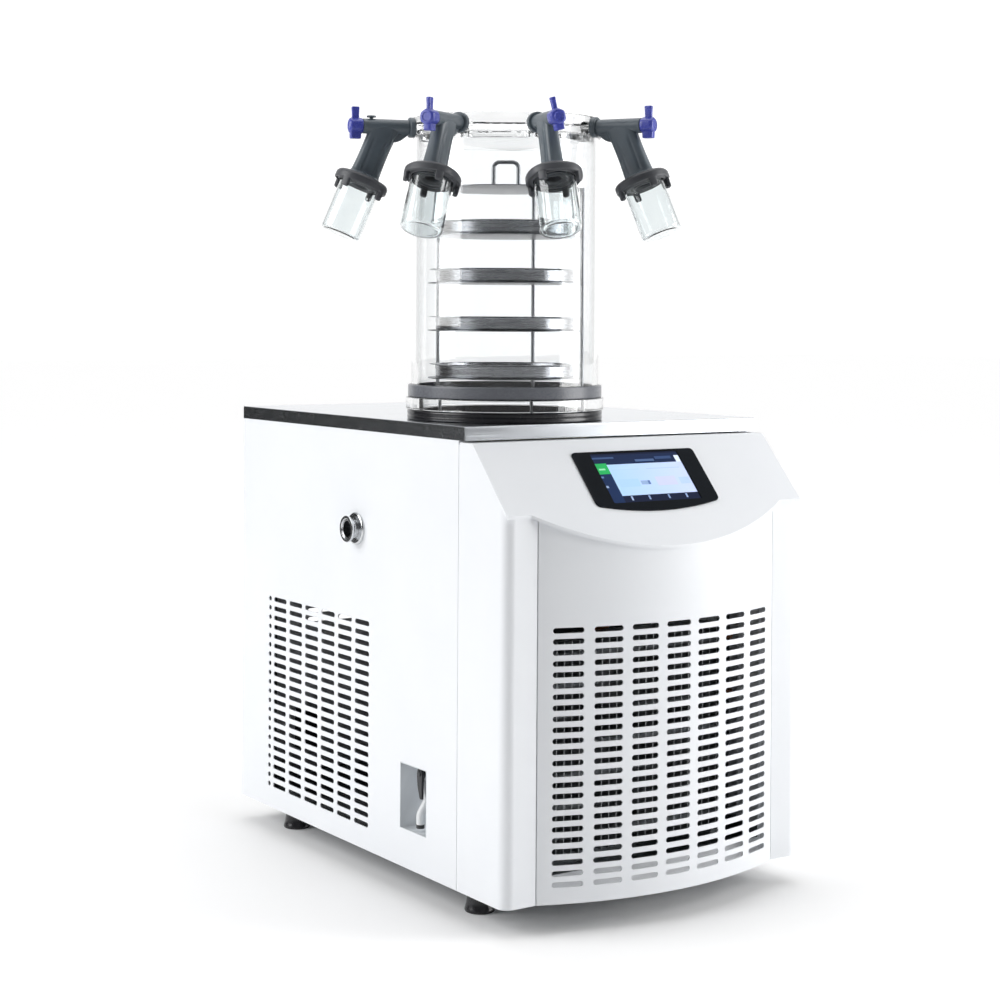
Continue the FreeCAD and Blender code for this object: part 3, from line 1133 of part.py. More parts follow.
SIDE_RUN = "(condenser_width/2 + 1.6*line_bend)"
FLOW_Y = f"({CONDENSER_Y} + condenser_depth/2)"
HOT_Z = f"({CONDENSER_Z} + (condenser_tubes - 0.5)*{TUBE_STEP})"
hot_points = [spot(f"{COMP_X} + stub_offset", COMP_Y, STUB_Z), spot(f"{COMP_X} + stub_offset", COMP_Y, HOT_Z),
              spot(SIDE_RUN, COMP_Y, HOT_Z), spot(SIDE_RUN, FLOW_Y, HOT_Z),
              spot("condenser_width/2", FLOW_Y, HOT_Z)]
node(shaped("discharge", rod_along(hot_points, line, bend)), "discharge_line")

COOL_Z = f"({CONDENSER_Z} + (condenser_tubes - 2.5)*{TUBE_STEP})"
DRIER_Y = f"({AXIS_Y} - drier_offset)"
DRIER_LOW = f"({COOL_Z} + 1.4*line_bend)"
drier = turned("drier_can",
               [("0", "0"), ("line_radius", "0"), ("drier_radius", "drier_radius/2"),
                ("drier_radius", "drier_long - drier_radius/2"), ("line_radius", "drier_long"), ("0", "drier_long")],
               (LINE_X, DRIER_Y, DRIER_LOW))
upper_points = [spot(LINE_X, f"{AXIS_Y} - coil_tube", COIL_Z), spot(LINE_X, DRIER_Y, COIL_Z),
                spot(LINE_X, DRIER_Y, f"{DRIER_LOW} + drier_long")]
lower_points = [spot(LINE_X, DRIER_Y, DRIER_LOW), spot(LINE_X, DRIER_Y, COOL_Z), spot(SIDE_RUN, DRIER_Y, COOL_Z),
                spot(SIDE_RUN, FLOW_Y, COOL_Z), spot("condenser_width/2", FLOW_Y, COOL_Z)]
node(fuse("liquid", drier, shaped("liquid_upper", rod_along(upper_points, line, bend)),
          shaped("liquid_lower", rod_along(lower_points, line, bend))), "liquid_line")

# ---------------------------------------------------------------------------
# Electrics: control box, power inlet and rocker switch
# ---------------------------------------------------------------------------
BOX_X = f"({POST_OUT} - post_side - box_wide)"
box_block = box("box_block", ("box_wide", "box_deep", "box_high"),
                (BOX_X, f"{FRONT} + box_front", f"{PLATE_UNDER} - fit_gap - box_high"))
node(box_block, "electrical_box")

inlet_body = box("inlet_body", ("inlet_width", "inlet_depth", "inlet_height"),
                 ("inlet_x - inlet_width/2", f"{BACK} - inlet_depth", f"{INLET_Z} - inlet_height/2"))
inlet_plate = box("inlet_plate", ("inlet_width + 2*inlet_flange", "gauge", "inlet_height + 2*inlet_flange"),
                  ("inlet_x - inlet_width/2 - inlet_flange", BACK, f"{INLET_Z} - inlet_height/2 - inlet_flange"))
SOCKET_Z = f"({INLET_Z} - inlet_height/2 + inlet_flange)"
socket = box("socket", ("socket_width", "socket_depth", "socket_height"),
             ("inlet_x - socket_width/2", f"{BACK} + gauge - socket_depth", SOCKET_Z))
pins = [box(f"socket_pin_{step + 1}", ("1.5*gauge", "socket_depth - 2*gauge", "3*gauge"),
            (f"inlet_x + {step}*socket_width/3.5 - 0.75*gauge", f"{BACK} - socket_depth",
             f"{SOCKET_Z} + socket_height/2 - 1.5*gauge + {1 - abs(step)}*2*gauge"))
        for step in (-1, 0, 1)]
ROCKER_Z = f"({INLET_Z} + inlet_height/2 - inlet_flange - rocker_height/2)"
rocker_way = box("rocker_way", ("rocker_width + 2*fit_gap", "2*rocker_depth", "rocker_height + 4*fit_gap"),
                 ("inlet_x - rocker_width/2 - fit_gap", f"{BACK} + gauge - rocker_depth - 2",
                  f"{ROCKER_Z} - rocker_height/2 - 2*fit_gap"))
pin_way = cylinder("pin_way", "rocker_pin + running_gap", "rocker_width + 4",
                   ("inlet_x - rocker_width/2 - 2", BACK, ROCKER_Z), "X")
inlet_shell = cut("inlet_shell", fuse("inlet_whole", inlet_body, inlet_plate), socket, rocker_way, pin_way)
node(fuse("inlet", inlet_shell, *pins), "power_inlet")

paddle = slab("paddle", "YZ_Plane",
              [("-rocker_depth/2", "-rocker_height/4"), ("0", "-rocker_height/2"),
               ("rocker_depth/2", "-rocker_height/2"), ("rocker_depth/4", "0"),
               ("rocker_depth/2", "rocker_height/2"), ("0", "rocker_height/2"), ("-rocker_depth/2", "rocker_height/4")],
              "rocker_width")
paddle_pin = cylinder("paddle_pin", "rocker_pin", "rocker_width + 3", ("-rocker_width/2 - 1.5", "0", "0"), "X")
node(tilted(fuse("rocker", paddle, paddle_pin), ("inlet_x", BACK, ROCKER_Z), X_AXIS, "rocker_tilt"), "power_switch")

# ---------------------------------------------------------------------------
# Check every object, then write one file for each finished piece
# ---------------------------------------------------------------------------
doc.recompute()
for thing in doc.Objects:
    if "Invalid" in thing.State or "Error" in thing.State:
        raise RuntimeError(f"{thing.Name} did not rebuild: {thing.State}")
os.makedirs("parts", exist_ok=True)
for thing in NODES:
    shape = thing.Shape
    if shape.isNull() or not shape.isValid() or not shape.Solids:
        raise RuntimeError(f"{thing.Label} has no sound solid")
    shape.exportStep(f"parts/{thing.Label}.step")
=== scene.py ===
import math
import bmesh
import bpy
import numpy as np
from mathutils import Matrix, Vector


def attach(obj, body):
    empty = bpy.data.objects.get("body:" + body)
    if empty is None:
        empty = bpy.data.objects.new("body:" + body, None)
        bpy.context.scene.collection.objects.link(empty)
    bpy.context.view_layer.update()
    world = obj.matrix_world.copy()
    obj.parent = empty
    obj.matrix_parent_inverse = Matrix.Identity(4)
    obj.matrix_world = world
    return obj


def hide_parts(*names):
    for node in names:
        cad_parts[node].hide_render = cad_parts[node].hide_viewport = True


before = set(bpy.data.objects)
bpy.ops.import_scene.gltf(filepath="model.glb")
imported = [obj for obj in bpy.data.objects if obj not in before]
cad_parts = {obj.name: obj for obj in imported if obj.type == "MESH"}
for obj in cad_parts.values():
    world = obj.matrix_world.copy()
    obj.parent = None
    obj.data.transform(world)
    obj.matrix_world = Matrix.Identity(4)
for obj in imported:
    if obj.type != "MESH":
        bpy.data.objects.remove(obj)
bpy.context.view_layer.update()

# ---------------------------------------------------------------------------
# Cabinet sheet metal. The sides, back, columns and rails are 1.5 mm steel, folded and powder
# coated in a cool white; the pan, chassis, fan shroud and electrical box are zinc plated.


def linear(hex_colour):
    """An sRGB hex colour as a linear RGBA tuple."""
    parts = [int(hex_colour[i:i + 2], 16) / 255 for i in (1, 3, 5)]
    return tuple(c / 12.92 if c <= 0.04045 else ((c + 0.055) / 1.055) ** 2.4 for c in parts) + (1.0,)


def add(tree, kind, inputs=None, **settings):
    """Adds one shader node, sets its properties and fills or links its inputs, by name or number."""
    made = tree.nodes.new(kind)
    for word, setting in settings.items():
        setattr(made, word, setting)
    for socket, given in (inputs or {}).items():
        if isinstance(given, bpy.types.NodeSocket):
            tree.links.new(given, made.inputs[socket])
        else:
            made.inputs[socket].default_value = given
    return made


def new_finish(name, **shader):
    """A new material with one Principled shader, whose own sockets take the given values; also gives
    its tree, its shader and its position in metres."""
    made = bpy.data.materials.new(name)
    made.use_nodes = True
    tree = made.node_tree
    tree.nodes.clear()
    inputs = {key.replace("_", " "): value for key, value in shader.items()}
    skin = add(tree, "ShaderNodeBsdfPrincipled", inputs)
    add(tree, "ShaderNodeOutputMaterial", {"Surface": skin.outputs[0]})
    return made, tree, skin, add(tree, "ShaderNodeTexCoord").outputs["Object"]


def clad(tree, skin, tones, mottle, gloss, relief, depth):
    """Gives a shader its surface: colour drifts from the first tone to the second with the factor
    mottle, roughness runs over the range gloss with the factor relief, and relief is also the height
    of a bump whose depth is in millimetres."""
    low, high = linear(tones[0]), linear(tones[1])
    colour = add(tree, "ShaderNodeMix", {0: mottle, 6: low, 7: high}, data_type="RGBA")
    rough = add(tree, "ShaderNodeMapRange", {"Value": relief, "From Min": 0.3, "From Max": 0.7,
                                             "To Min": gloss[0], "To Max": gloss[1]})
    bump = add(tree, "ShaderNodeBump", {"Height": relief, "Strength": 1.0, "Distance": depth / 1000})
    tree.links.new(colour.outputs[2], skin.inputs["Base Color"])
    tree.links.new(rough.outputs["Result"], skin.inputs["Roughness"])
    tree.links.new(bump.outputs["Normal"], skin.inputs["Normal"])


def mottled(name, tones, patch, gloss, texture, depth, **shader):
    """A moulded, coated or cast finish: its colour wanders over patches and its gloss and relief
    follow a finer texture, both given by their size across in millimetres."""
    made, tree, skin, where = new_finish(name, **shader)
    cloud = add(tree, "ShaderNodeTexNoise", {"Vector": where, "Scale": 1000 / patch, "Detail": 3.0})
    fine = add(tree, "ShaderNodeTexNoise", {"Vector": where, "Scale": 1000 / texture, "Detail": 2.0})
    clad(tree, skin, tones, cloud.outputs["Fac"], gloss, fine.outputs["Fac"], depth)
    return made


def coat(finish, *names):
    """Gives CAD nodes one finish."""
    for name in names:
        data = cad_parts[name].data
        data.materials.clear()
        data.materials.append(finish)


# Polyester powder coat: satin, a faint orange peel 2 mm across, colour even to the eye.
powder_coat = mottled("powder_coat_white", ("#E3E6EA", "#ECEEF1"), 180, (0.34, 0.44), 2.0, 0.012, IOR=1.5,
                      Coat_Weight=0.15, Coat_Roughness=0.2)
coat(powder_coat, "left_side_panel", "right_side_panel", "rear_panel", "front_frame", "front_grille",
     "control_panel")

# Bright zinc plate on cold-rolled steel: a cool grey metal with a faint spangle about 6 mm across.
zinc_plate, tree, skin, where = new_finish("zinc_plated_steel", Metallic=1.0)
spangle = add(tree, "ShaderNodeTexVoronoi", {"Vector": where, "Scale": 170.0}).outputs["Distance"]
haze = add(tree, "ShaderNodeTexNoise", {"Vector": where, "Scale": 90.0, "Detail": 4.0}).outputs["Fac"]
clad(tree, skin, ("#8E9296", "#A6AAAE"), spangle, (0.36, 0.52), haze, 0.01)
coat(zinc_plate, "base_pan", "chassis_frame", "fan_shroud", "electrical_box")

# ---------------------------------------------------------------------------
# Deck. One stainless sheet with turned-down edges, polished along the machine's width, so lights
# stretch across it and fine lines run left to right.


def lined(name, tones, scale, detail, gloss, depth):
    """A worked metal: colour, gloss and relief all follow noise drawn out into lines. Each axis has its
    own scale, and the lines run along a low one."""
    made, tree, skin, where = new_finish(name, Metallic=1.0)
    drawn = add(tree, "ShaderNodeMapping", {"Vector": where, "Scale": scale}).outputs["Vector"]
    noise = add(tree, "ShaderNodeTexNoise", {"Vector": drawn, "Scale": 1.0, "Detail": detail})
    lines = noise.outputs["Fac"]
    clad(tree, skin, tones, lines, gloss, lines, depth)
    return made


# Brushed stainless: lines about 1 mm apart and 160 mm long.
deck_steel = lined("brushed_stainless_deck", ("#B4B8BD", "#CDD0D4"), (6, 900, 900), 3.0, (0.16, 0.28),
                   0.004)
coat(deck_steel, "top_plate")

# ---------------------------------------------------------------------------
# Chamber stack. A black EPDM ring seals the deck and a clear acrylic ring stands on it; a grey
# silicone gasket with an inner step holds the cast acrylic cylinder. Every piece is turned about one
# upright axis and only rests on the piece below.

CHAMBER = (-0.097, -0.139)
DECK = 0.685
ROUND_STEPS = 192


def softened(corners, radius, closed=True, steps=5):
    """A profile whose corners are replaced by arcs: each corner is cut back by the radius along both
    of its runs, or by 0.45 of a shorter run, and a quadratic curve joins the two cuts through it. One
    more point just beyond each cut keeps the shading of the flats flat."""
    corners = np.asarray(corners, float)
    count = len(corners)
    radii = np.broadcast_to(np.asarray(radius, float), (count,))
    runs = []
    for here in range(count):
        corner = corners[here]
        if radii[here] <= 0 or (not closed and here in (0, count - 1)):
            runs.append(corner[None])
            continue
        before, after = corners[here - 1] - corner, corners[(here + 1) % count] - corner
        near, far = np.linalg.norm(before), np.linalg.norm(after)
        start = corner + before / near * min(radii[here], 0.45 * near)
        end = corner + after / far * min(radii[here], 0.45 * far)
        t = np.linspace(0, 1, steps)[:, None]
        curve = (1 - t) ** 2 * start + 2 * t * (1 - t) * corner + t ** 2 * end
        hold_start = start + before / near * min(0.3 * radii[here], 0.04 * near)
        hold_end = end + after / far * min(0.3 * radii[here], 0.04 * far)
        runs.append(np.vstack([hold_start, curve, hold_end]))
    return np.vstack(runs)


def placed(name, data):
    """A new object with the given data, linked into the scene."""
    made = bpy.data.objects.new(name, data)
    bpy.context.scene.collection.objects.link(made)
    return made


def smoothed(data, work, sharp=40):
    """Puts a worked mesh back and shades it smooth, but for edges sharper than so many degrees."""
    work.to_mesh(data)
    work.free()
    data.shade_smooth()
    data.set_sharp_from_angle(angle=math.radians(sharp))


def sheet_of(name, points, finish, wrap_u=False, wrap_v=True, body="cabinet"):
    """A mesh on a CAD body, from a grid of points (u, v, 3): its quads join each point to its next
    ones in u and v, and round again where it wraps. Doubled points are merged; faces look outwards."""
    u_count, v_count = points.shape[:2]
    index = np.arange(u_count * v_count).reshape(u_count, v_count)
    if wrap_u:
        index = np.vstack([index, index[:1]])
    if wrap_v:
        index = np.hstack([index, index[:, :1]])
    quads = np.stack([index[:-1, :-1], index[1:, :-1], index[1:, 1:], index[:-1, 1:]], -1).reshape(-1, 4)
    data = bpy.data.meshes.new(name)
    data.from_pydata(points.reshape(-1, 3).tolist(), [], quads.tolist())
    work = bmesh.new()
    work.from_mesh(data)
    bmesh.ops.remove_doubles(work, verts=work.verts, dist=2e-6)
    bmesh.ops.dissolve_degenerate(work, dist=1e-7, edges=work.edges)
    bmesh.ops.recalc_face_normals(work, faces=work.faces)
    smoothed(data, work)
    data.materials.append(finish)
    made = placed(name, data)
    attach(made, body)
    return made


def turned(profile, steps=ROUND_STEPS):
    """Grid of a profile of (radius, height) carried round Z: x = r cos a, y = r sin a, z = height."""
    angle = np.linspace(0, 2 * np.pi, steps, endpoint=False)
    radius, height = np.asarray(profile).T
    return np.stack([np.outer(radius, np.cos(angle)), np.outer(radius, np.sin(angle)),
                     np.outer(height, np.ones(steps))], -1)


def about_chamber(points):
    """Moves points from the chamber's own axis and the deck's top to the machine's frame."""
    return points + np.array([CHAMBER[0], CHAMBER[1], DECK])


# EPDM: near-black, moulded with a soft sheen, dusted grey by mottling 12 mm across.
epdm = mottled("epdm_rubber_black", ("#18181B", "#28282C"), 12, (0.16, 0.28), 1.5, 0.02, IOR=1.5)

trap_seal = softened([(0.1205, 0), (0.145, 0), (0.145, 0.0064), (0.1435, 0.0075), (0.145, 0.0086),
                      (0.145, 0.015), (0.1205, 0.015)],
                     [0.001, 0.004, 0.0008, 0.0008, 0.0008, 0.004, 0.001])
piece = sheet_of("trap_seal", about_chamber(turned(trap_seal)), wrap_u=True, finish=epdm)
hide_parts("trap_gasket")

# Cast acrylic: water-clear and polished, with the very slight ripple of casting about 60 mm across.
acrylic, tree, skin, where = new_finish("cast_acrylic_clear", IOR=1.49, Transmission_Weight=1.0)
ripple = add(tree, "ShaderNodeTexNoise", {"Vector": where, "Scale": 16.0, "Detail": 1.0}).outputs["Fac"]
clad(tree, skin, ("#FAFCFD", "#FFFFFF"), ripple, (0.0, 0.02), ripple, 0.05)

clear_ring = softened([(0.122, 0.015), (0.147, 0.015), (0.147, 0.0335), (0.122, 0.0335)],
                      [0.0005, 0.0015, 0.0015, 0.0005])
piece = sheet_of("clear_ring", about_chamber(turned(clear_ring)), wrap_u=True, finish=acrylic)
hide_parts("chamber_base_ring")

# Silicone: mid grey and matt, moulded in one ring whose outer lip stands round the cylinder's foot.
silicone = mottled("silicone_grey", ("#5C5E64", "#6C6F75"), 30, (0.22, 0.34), 1.5, 0.02, IOR=1.43)
step = softened([(0.125, 0.0335), (0.144, 0.0335), (0.144, 0.0515), (0.1392, 0.0515), (0.1392, 0.0375),
                 (0.125, 0.0375)], [0.0005, 0.0015, 0.0025, 0.0008, 0.0003, 0.0005])
piece = sheet_of("foot_seal", about_chamber(turned(step)), wrap_u=True, finish=silicone)
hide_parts("chamber_gasket")

wall = softened([(0.131, 0.0375), (0.139, 0.0375), (0.139, 0.417), (0.131, 0.417)], 0.0006)
piece = sheet_of("clear_cylinder", about_chamber(turned(wall, 256)), wrap_u=True, finish=acrylic)
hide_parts("drying_chamber")


def smooth_copy(node, name, finish, body="cabinet"):
    """A copy of a CAD node's mesh with its loose triangles joined and its curved faces shaded smooth.
    Normals follow the larger faces, so flats stay flat beside a rounding."""
    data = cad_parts[node].data.copy()
    data.materials.clear()
    work = bmesh.new()
    work.from_mesh(data)
    bmesh.ops.remove_doubles(work, verts=work.verts, dist=5e-6)
    bmesh.ops.dissolve_degenerate(work, dist=1e-6, edges=work.edges)
    smoothed(data, work, 32)
    data.name = name
    data.materials.append(finish)
    made = placed(name, data)
    weigh = made.modifiers.new("flat_faces_lead", "WEIGHTED_NORMAL")
    weigh.keep_sharp = True
    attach(made, body)
    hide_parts(node)


# The lid is turned from one acrylic plate, with a spigot into the cylinder and four drilled ports.
smooth_copy("manifold_lid", "clear_lid", acrylic)

# ---------------------------------------------------------------------------
# Tray rack. Round 1.5 mm stainless plates are welded between three 6 mm rods, with a bent-rod
# handle on top. A shallow spun tray with a rolled rim lies on each of the four lower plates.

PLATE_R = 0.115
PLATE_THICK = 0.0015
SHELVES = [0.0605 + 0.07 * k for k in range(5)]
ROD_R = 0.003
ROD_CIRCLE_R = 0.1165
ROD_TURNS = (119, 34, -51)
HANDLE_HALF = 0.0185
HANDLE_TALL = 0.04

# Electropolished stainless: bright and smooth, with faint turning marks about 1 mm apart.
polished = mottled("electropolished_stainless", ("#C6C8CB", "#D8DADC"), 40, (0.13, 0.22), 1.2, 0.004,
                   Metallic=1.0)
# Drawn and pickled stainless bar and plate: satin grey.
pickled = mottled("pickled_stainless", ("#8A8C90", "#9EA0A4"), 15, (0.26, 0.38), 1.0, 0.004, Metallic=1.0)
# Spun stainless, darkened all over as painted shade for the dim studio its walls reflect: fine turned lines
# run round the walls, some a little darker than others.
spun = lined("spun_stainless_tray_painted_shade", ("#808286", "#B4B6BA"), (20, 20, 700), 3.0, (0.2, 0.32), 0.003)


def smooth_path(corners, radius, per_bend=10):
    """A polyline whose corners become arcs: from each corner cut back by radius / tan(half the angle
    between its runs), a circular arc goes from one run to the next."""
    corners = np.asarray(corners, float)
    points = [corners[:1]]
    for before, corner, after in zip(corners, corners[1:], corners[2:]):
        inward = (before - corner) / np.linalg.norm(before - corner)
        outward = (after - corner) / np.linalg.norm(after - corner)
        half = math.acos(np.clip(inward @ outward, -1, 1)) / 2
        middle = corner + (inward + outward) / np.linalg.norm(inward + outward) * radius / math.sin(half)
        first, last = corner + inward * radius / math.tan(half), corner + outward * radius / math.tan(half)
        a, b = (first - middle) / radius, (last - middle) / radius
        swing = math.acos(np.clip(a @ b, -1, 1))
        t = np.linspace(0, 1, per_bend)[:, None]
        share_a, share_b = np.sin((1 - t) * swing), np.sin(t * swing)
        points.append(middle + radius * (share_a * a + share_b * b) / math.sin(swing))
    points.append(corners[-1:])
    return np.vstack(points)


def rod(path, radius, steps=16):
    """Grid of a round rod along a flat path: every circle is spanned by the normal of the path's own
    plane and by that normal crossed with the path's direction; both ends close on the path."""
    path = np.asarray(path, float)
    ways = np.gradient(path, axis=0)
    ways /= np.linalg.norm(ways, axis=1)[:, None]
    normal = np.linalg.svd(path - path.mean(0))[2][2]
    side = normal - ways * (ways @ normal)[:, None]
    side /= np.linalg.norm(side, axis=1)[:, None]
    angle = np.linspace(0, 2 * np.pi, steps, endpoint=False)[None, :, None]
    third = np.cross(ways, side)
    rings = path[:, None] + radius * (np.cos(angle) * side[:, None] + np.sin(angle) * third[:, None])
    first, last = path[:1, None].repeat(steps, 1), path[-1:, None].repeat(steps, 1)
    return np.concatenate([first, 0.15 * first + 0.85 * rings[:1], rings,
                           0.15 * last + 0.85 * rings[-1:], last])


def joined(name, pieces):
    """Several pieces made one object, with the first one's finish and body."""
    work = bmesh.new()
    for piece in pieces:
        work.from_mesh(piece.data)
    smoothed(pieces[0].data, work)
    pieces[0].name = pieces[0].data.name = name
    for piece in pieces[1:]:
        bpy.data.objects.remove(piece)
    return pieces[0]


rack = []
for k, height in enumerate(SHELVES):
    upper = height + PLATE_THICK
    plate = softened([(0.0, height), (PLATE_R, height), (PLATE_R, upper), (0.0, upper)],
                     [0, 0.0005, 0.0005, 0], closed=False)
    rack.append(sheet_of(f"rack_plate_{k}", about_chamber(turned(plate, 96)), finish=pickled))
foot = softened([(0.104, 0), (PLATE_R, 0), (PLATE_R, 0.003), (0.104, 0.003)], 0.0006)
rack.append(sheet_of("rack_foot", about_chamber(turned(foot, 96)), wrap_u=True, finish=polished))
top = SHELVES[-1] + PLATE_THICK
for degrees in ROD_TURNS:
    at = ROD_CIRCLE_R * np.array([math.cos(math.radians(degrees)), math.sin(math.radians(degrees)), 0])
    upright = np.array([[0, 0, 0], [0, 0, 0.17], [0, 0, top]]) + at
    rack.append(sheet_of("rack_rod", about_chamber(rod(upright, ROD_R)), finish=polished))

turn = math.radians(-34)
half = HANDLE_HALF * np.array([math.cos(turn), math.sin(turn), 0.0])
foot, bend = np.array([0, 0, top]), np.array([0, 0, top + HANDLE_TALL])
loop = smooth_path([foot - half, bend - half, bend + half, foot + half], HANDLE_HALF / 2)
rack.append(sheet_of("handle_loop", about_chamber(rod(loop, ROD_R)), finish=polished))
for side in (-1, 1):
    washer = softened([(0.0031, 0), (0.007, 0), (0.007, 0.002), (0.0031, 0.002)], 0.0006)
    spot = turned(washer, 32) + side * half + foot
    rack.append(sheet_of("handle_foot", about_chamber(spot), wrap_u=True, finish=polished))
    hexagon = turned([(0.0029, 0.002), (0.0055, 0.002), (0.0055, 0.0052), (0.005, 0.0057),
                      (0.0029, 0.0057)], 6) + side * half + foot
    rack.append(sheet_of("handle_nut", about_chamber(hexagon), wrap_u=True, finish=polished))
rack = joined("welded_rack", rack)
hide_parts("tray_rack")

# Each tray is spun from 1 mm stainless: flat floor, rounded heel, slightly flared wall, rolled rim.
for k in range(4):
    low = SHELVES[k] + PLATE_THICK
    dish = softened([(0.0, low), (0.103, low), (0.104, low + 0.0185), (0.112, low + 0.019),
                     (0.1132, low + 0.0195), (0.1127, low + 0.02), (0.103, low + 0.02),
                     (0.102, low + 0.001), (0.0, low + 0.001)],
                    [0, 0.003, 0.0012, 0.0003, 0.0004, 0.0004, 0.0012, 0.002, 0], closed=False)
    piece = sheet_of(f"spun_tray_{k + 1}", about_chamber(turned(dish)), finish=spun)
    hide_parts(f"tray_{k + 1}")

# ---------------------------------------------------------------------------
# Valve arms. Four moulded arms plug into the lid's ports through a round collar. Each has a level
# tube, a flat-sided neck with two raised ribs and a web under the tube; glass-filled polyamide.

ARM_Z = 1.1135
ARM_TURNS = [-196.5, -151.5, -106.5, -61.5]
NECK_OUT = 0.186
VENT_OUT = 0.2065
NECK_TILT = math.radians(23)
NECK_LONG = 0.082


def out_on_arm(points, turn):
    """From an arm's own frame, +X outwards along its tube, to the machine's: turned about the lid."""
    a = math.radians(turn)
    spin = np.array([[math.cos(a), -math.sin(a), 0], [math.sin(a), math.cos(a), 0], [0, 0, 1]])
    return points @ spin.T + np.array([CHAMBER[0], CHAMBER[1], ARM_Z])


def lying(points):
    """Turns a piece made about Z so that its axis points outwards along X."""
    return np.stack([points[..., 2], points[..., 1], -points[..., 0]], -1)


def down_neck(points):
    """Turns a piece made about Z so that its axis runs along the neck, from the tube's axis down."""
    c, s = math.cos(NECK_TILT), math.sin(NECK_TILT)
    x, y, z = points[..., 0], points[..., 1], points[..., 2]
    return np.stack([NECK_OUT + x * c - z * s, y, x * s + z * c], -1)


# Glass-filled polyamide: dark slate and satin, with a fine moulded grain.
polyamide = mottled("glass_filled_polyamide_slate", ("#4B545B", "#5C666E"), 22, (0.3, 0.44), 1.5, 0.015,
                    IOR=1.53)


def squarish(angle, power):
    """Cosine and sine of an angle, each raised to a power below 1 with its sign kept: the lower the
    power, the squarer the round."""
    return tuple(np.sign(way) * np.abs(way) ** power for way in (np.cos(angle), np.sin(angle)))


def neck_shell():
    """Grid of the neck: a rounded oblong section whose half length and half width follow smooth
    curves down it, with two shallow grooves on each flat side that leave a raised rib between."""
    s = np.linspace(0, 1, 40)
    drop = -NECK_LONG * s
    half_long = 0.0215 - 0.0015 * np.sin(np.pi * s) + 0.0035 * np.clip((s - 0.9) / 0.1, 0, 1) ** 2
    half_wide = 0.0108 + 0.0022 * s ** 2 + 0.003 * np.clip((s - 0.9) / 0.1, 0, 1) ** 2
    angle = np.linspace(0, 2 * np.pi, 72, endpoint=False)
    cx, cy = squarish(angle, 0.62)
    x = np.outer(half_long, cx)
    groove = np.exp(-((np.abs(x) - 0.0095) / 0.0014) ** 2) * (np.abs(cy) > 0.75)
    fade = np.clip((s - 0.22) / 0.1, 0, 1) * np.clip((0.93 - s) / 0.05, 0, 1)
    y = np.outer(half_wide, cy) * (1 - 0.11 * groove * fade[:, None])
    z = np.outer(drop, np.ones_like(angle))
    shell = np.stack([x, y, z], -1)
    caps = shell[:1].copy(), shell[-1:].copy()
    caps[0][..., :2] = 0
    caps[1][..., :2] = 0
    return np.concatenate([caps[0], shell, caps[1]])


def web_plate():
    """Grid of the web under the tube: a plate 8 mm thick whose lower edge falls away from the collar
    along a quarter of a sine wave and then runs level to the neck, its edges rounded."""
    u = np.linspace(0, 1, 24)
    x = 0.1505 + 0.04 * u
    low = -0.01 - 0.0125 * np.sin(np.clip(u * 1.8, 0, 1) * np.pi / 2)
    rings = []
    for side, inset in ((-1.0, 0.0014), (-0.82, 0.0), (0.82, 0.0), (1.0, 0.0014)):
        rings.append(np.stack([x, np.full_like(x, side * 0.004), low + inset], -1))
    for side in (1.0, -1.0):
        rings.append(np.stack([x, np.full_like(x, side * 0.004), np.full_like(x, -0.002)], -1))
    return np.stack(rings)


tube = softened([(0.0072, 0.1506), (0.011, 0.1506), (0.011, 0.2196), (0.0092, 0.22),
                 (0.0087, 0.218), (0.0072, 0.218)], [0.0005, 0.0012, 0.001, 0.0004, 0.0003, 0])
tube = lying(turned(tube, 72))
flange = softened([(0.0, -0.0825), (0.0255, -0.0825), (0.0255, -0.0795), (0.018, -0.077), (0.0, -0.077)],
                  [0, 0.0006, 0.0012, 0.002, 0], closed=False)
flange = down_neck(turned(flange, 72))
# The first arm alone has a round vent button on its tube.
vent = softened([(0.0, 0.0095), (0.0028, 0.0095), (0.0028, 0.0125), (0.0068, 0.013), (0.0068, 0.0155),
                 (0.0, 0.0162)], [0, 0, 0.0006, 0.0006, 0.001, 0], closed=False)
vent = turned(vent, 48) + np.array([VENT_OUT, 0, 0])
for number, turn in enumerate(ARM_TURNS, start=1):
    made = [sheet_of("tube", out_on_arm(tube, turn), finish=polyamide, wrap_u=True),
            sheet_of("neck", out_on_arm(down_neck(neck_shell()), turn), finish=polyamide),
            sheet_of("web", out_on_arm(web_plate(), turn), finish=polyamide, wrap_u=True, wrap_v=False),
            sheet_of("foot", out_on_arm(flange, turn), finish=polyamide)]
    if number == 1:
        made.append(sheet_of("vent", out_on_arm(vent, turn), finish=polyamide))
    arm = joined(f"valve_arm_{number}", made)
    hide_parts(f"valve_body_{number}")

ring = softened([(0.007, 0.1156), (0.0088, 0.1156), (0.0088, 0.1415), (0.015, 0.1416), (0.015, 0.1504),
                 (0.007, 0.1504)], [0.0004, 0.0008, 0.0003, 0.0016, 0.0022, 0.0004])
ring = lying(turned(ring, 72))
collars = joined("lid_collars", [sheet_of("collar", out_on_arm(ring, turn), finish=polyamide, wrap_u=True)
                                 for turn in ARM_TURNS])
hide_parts("arm_collars")

# ---------------------------------------------------------------------------
# Valve knobs. Each plug ends in a blue moulded knob with a flat lever on top; gloss ABS, turned by
# hand. They ride on their own bodies.

KNOB_OUT = 0.2304
LEANING, LEAN = 3, 14.0

# ABS: saturated blue, moulded smooth, faintly grained.
blue_abs = mottled("gloss_abs_blue", ("#3A429C", "#4850AC"), 14, (0.22, 0.32), 1.5, 0.008, IOR=1.54)


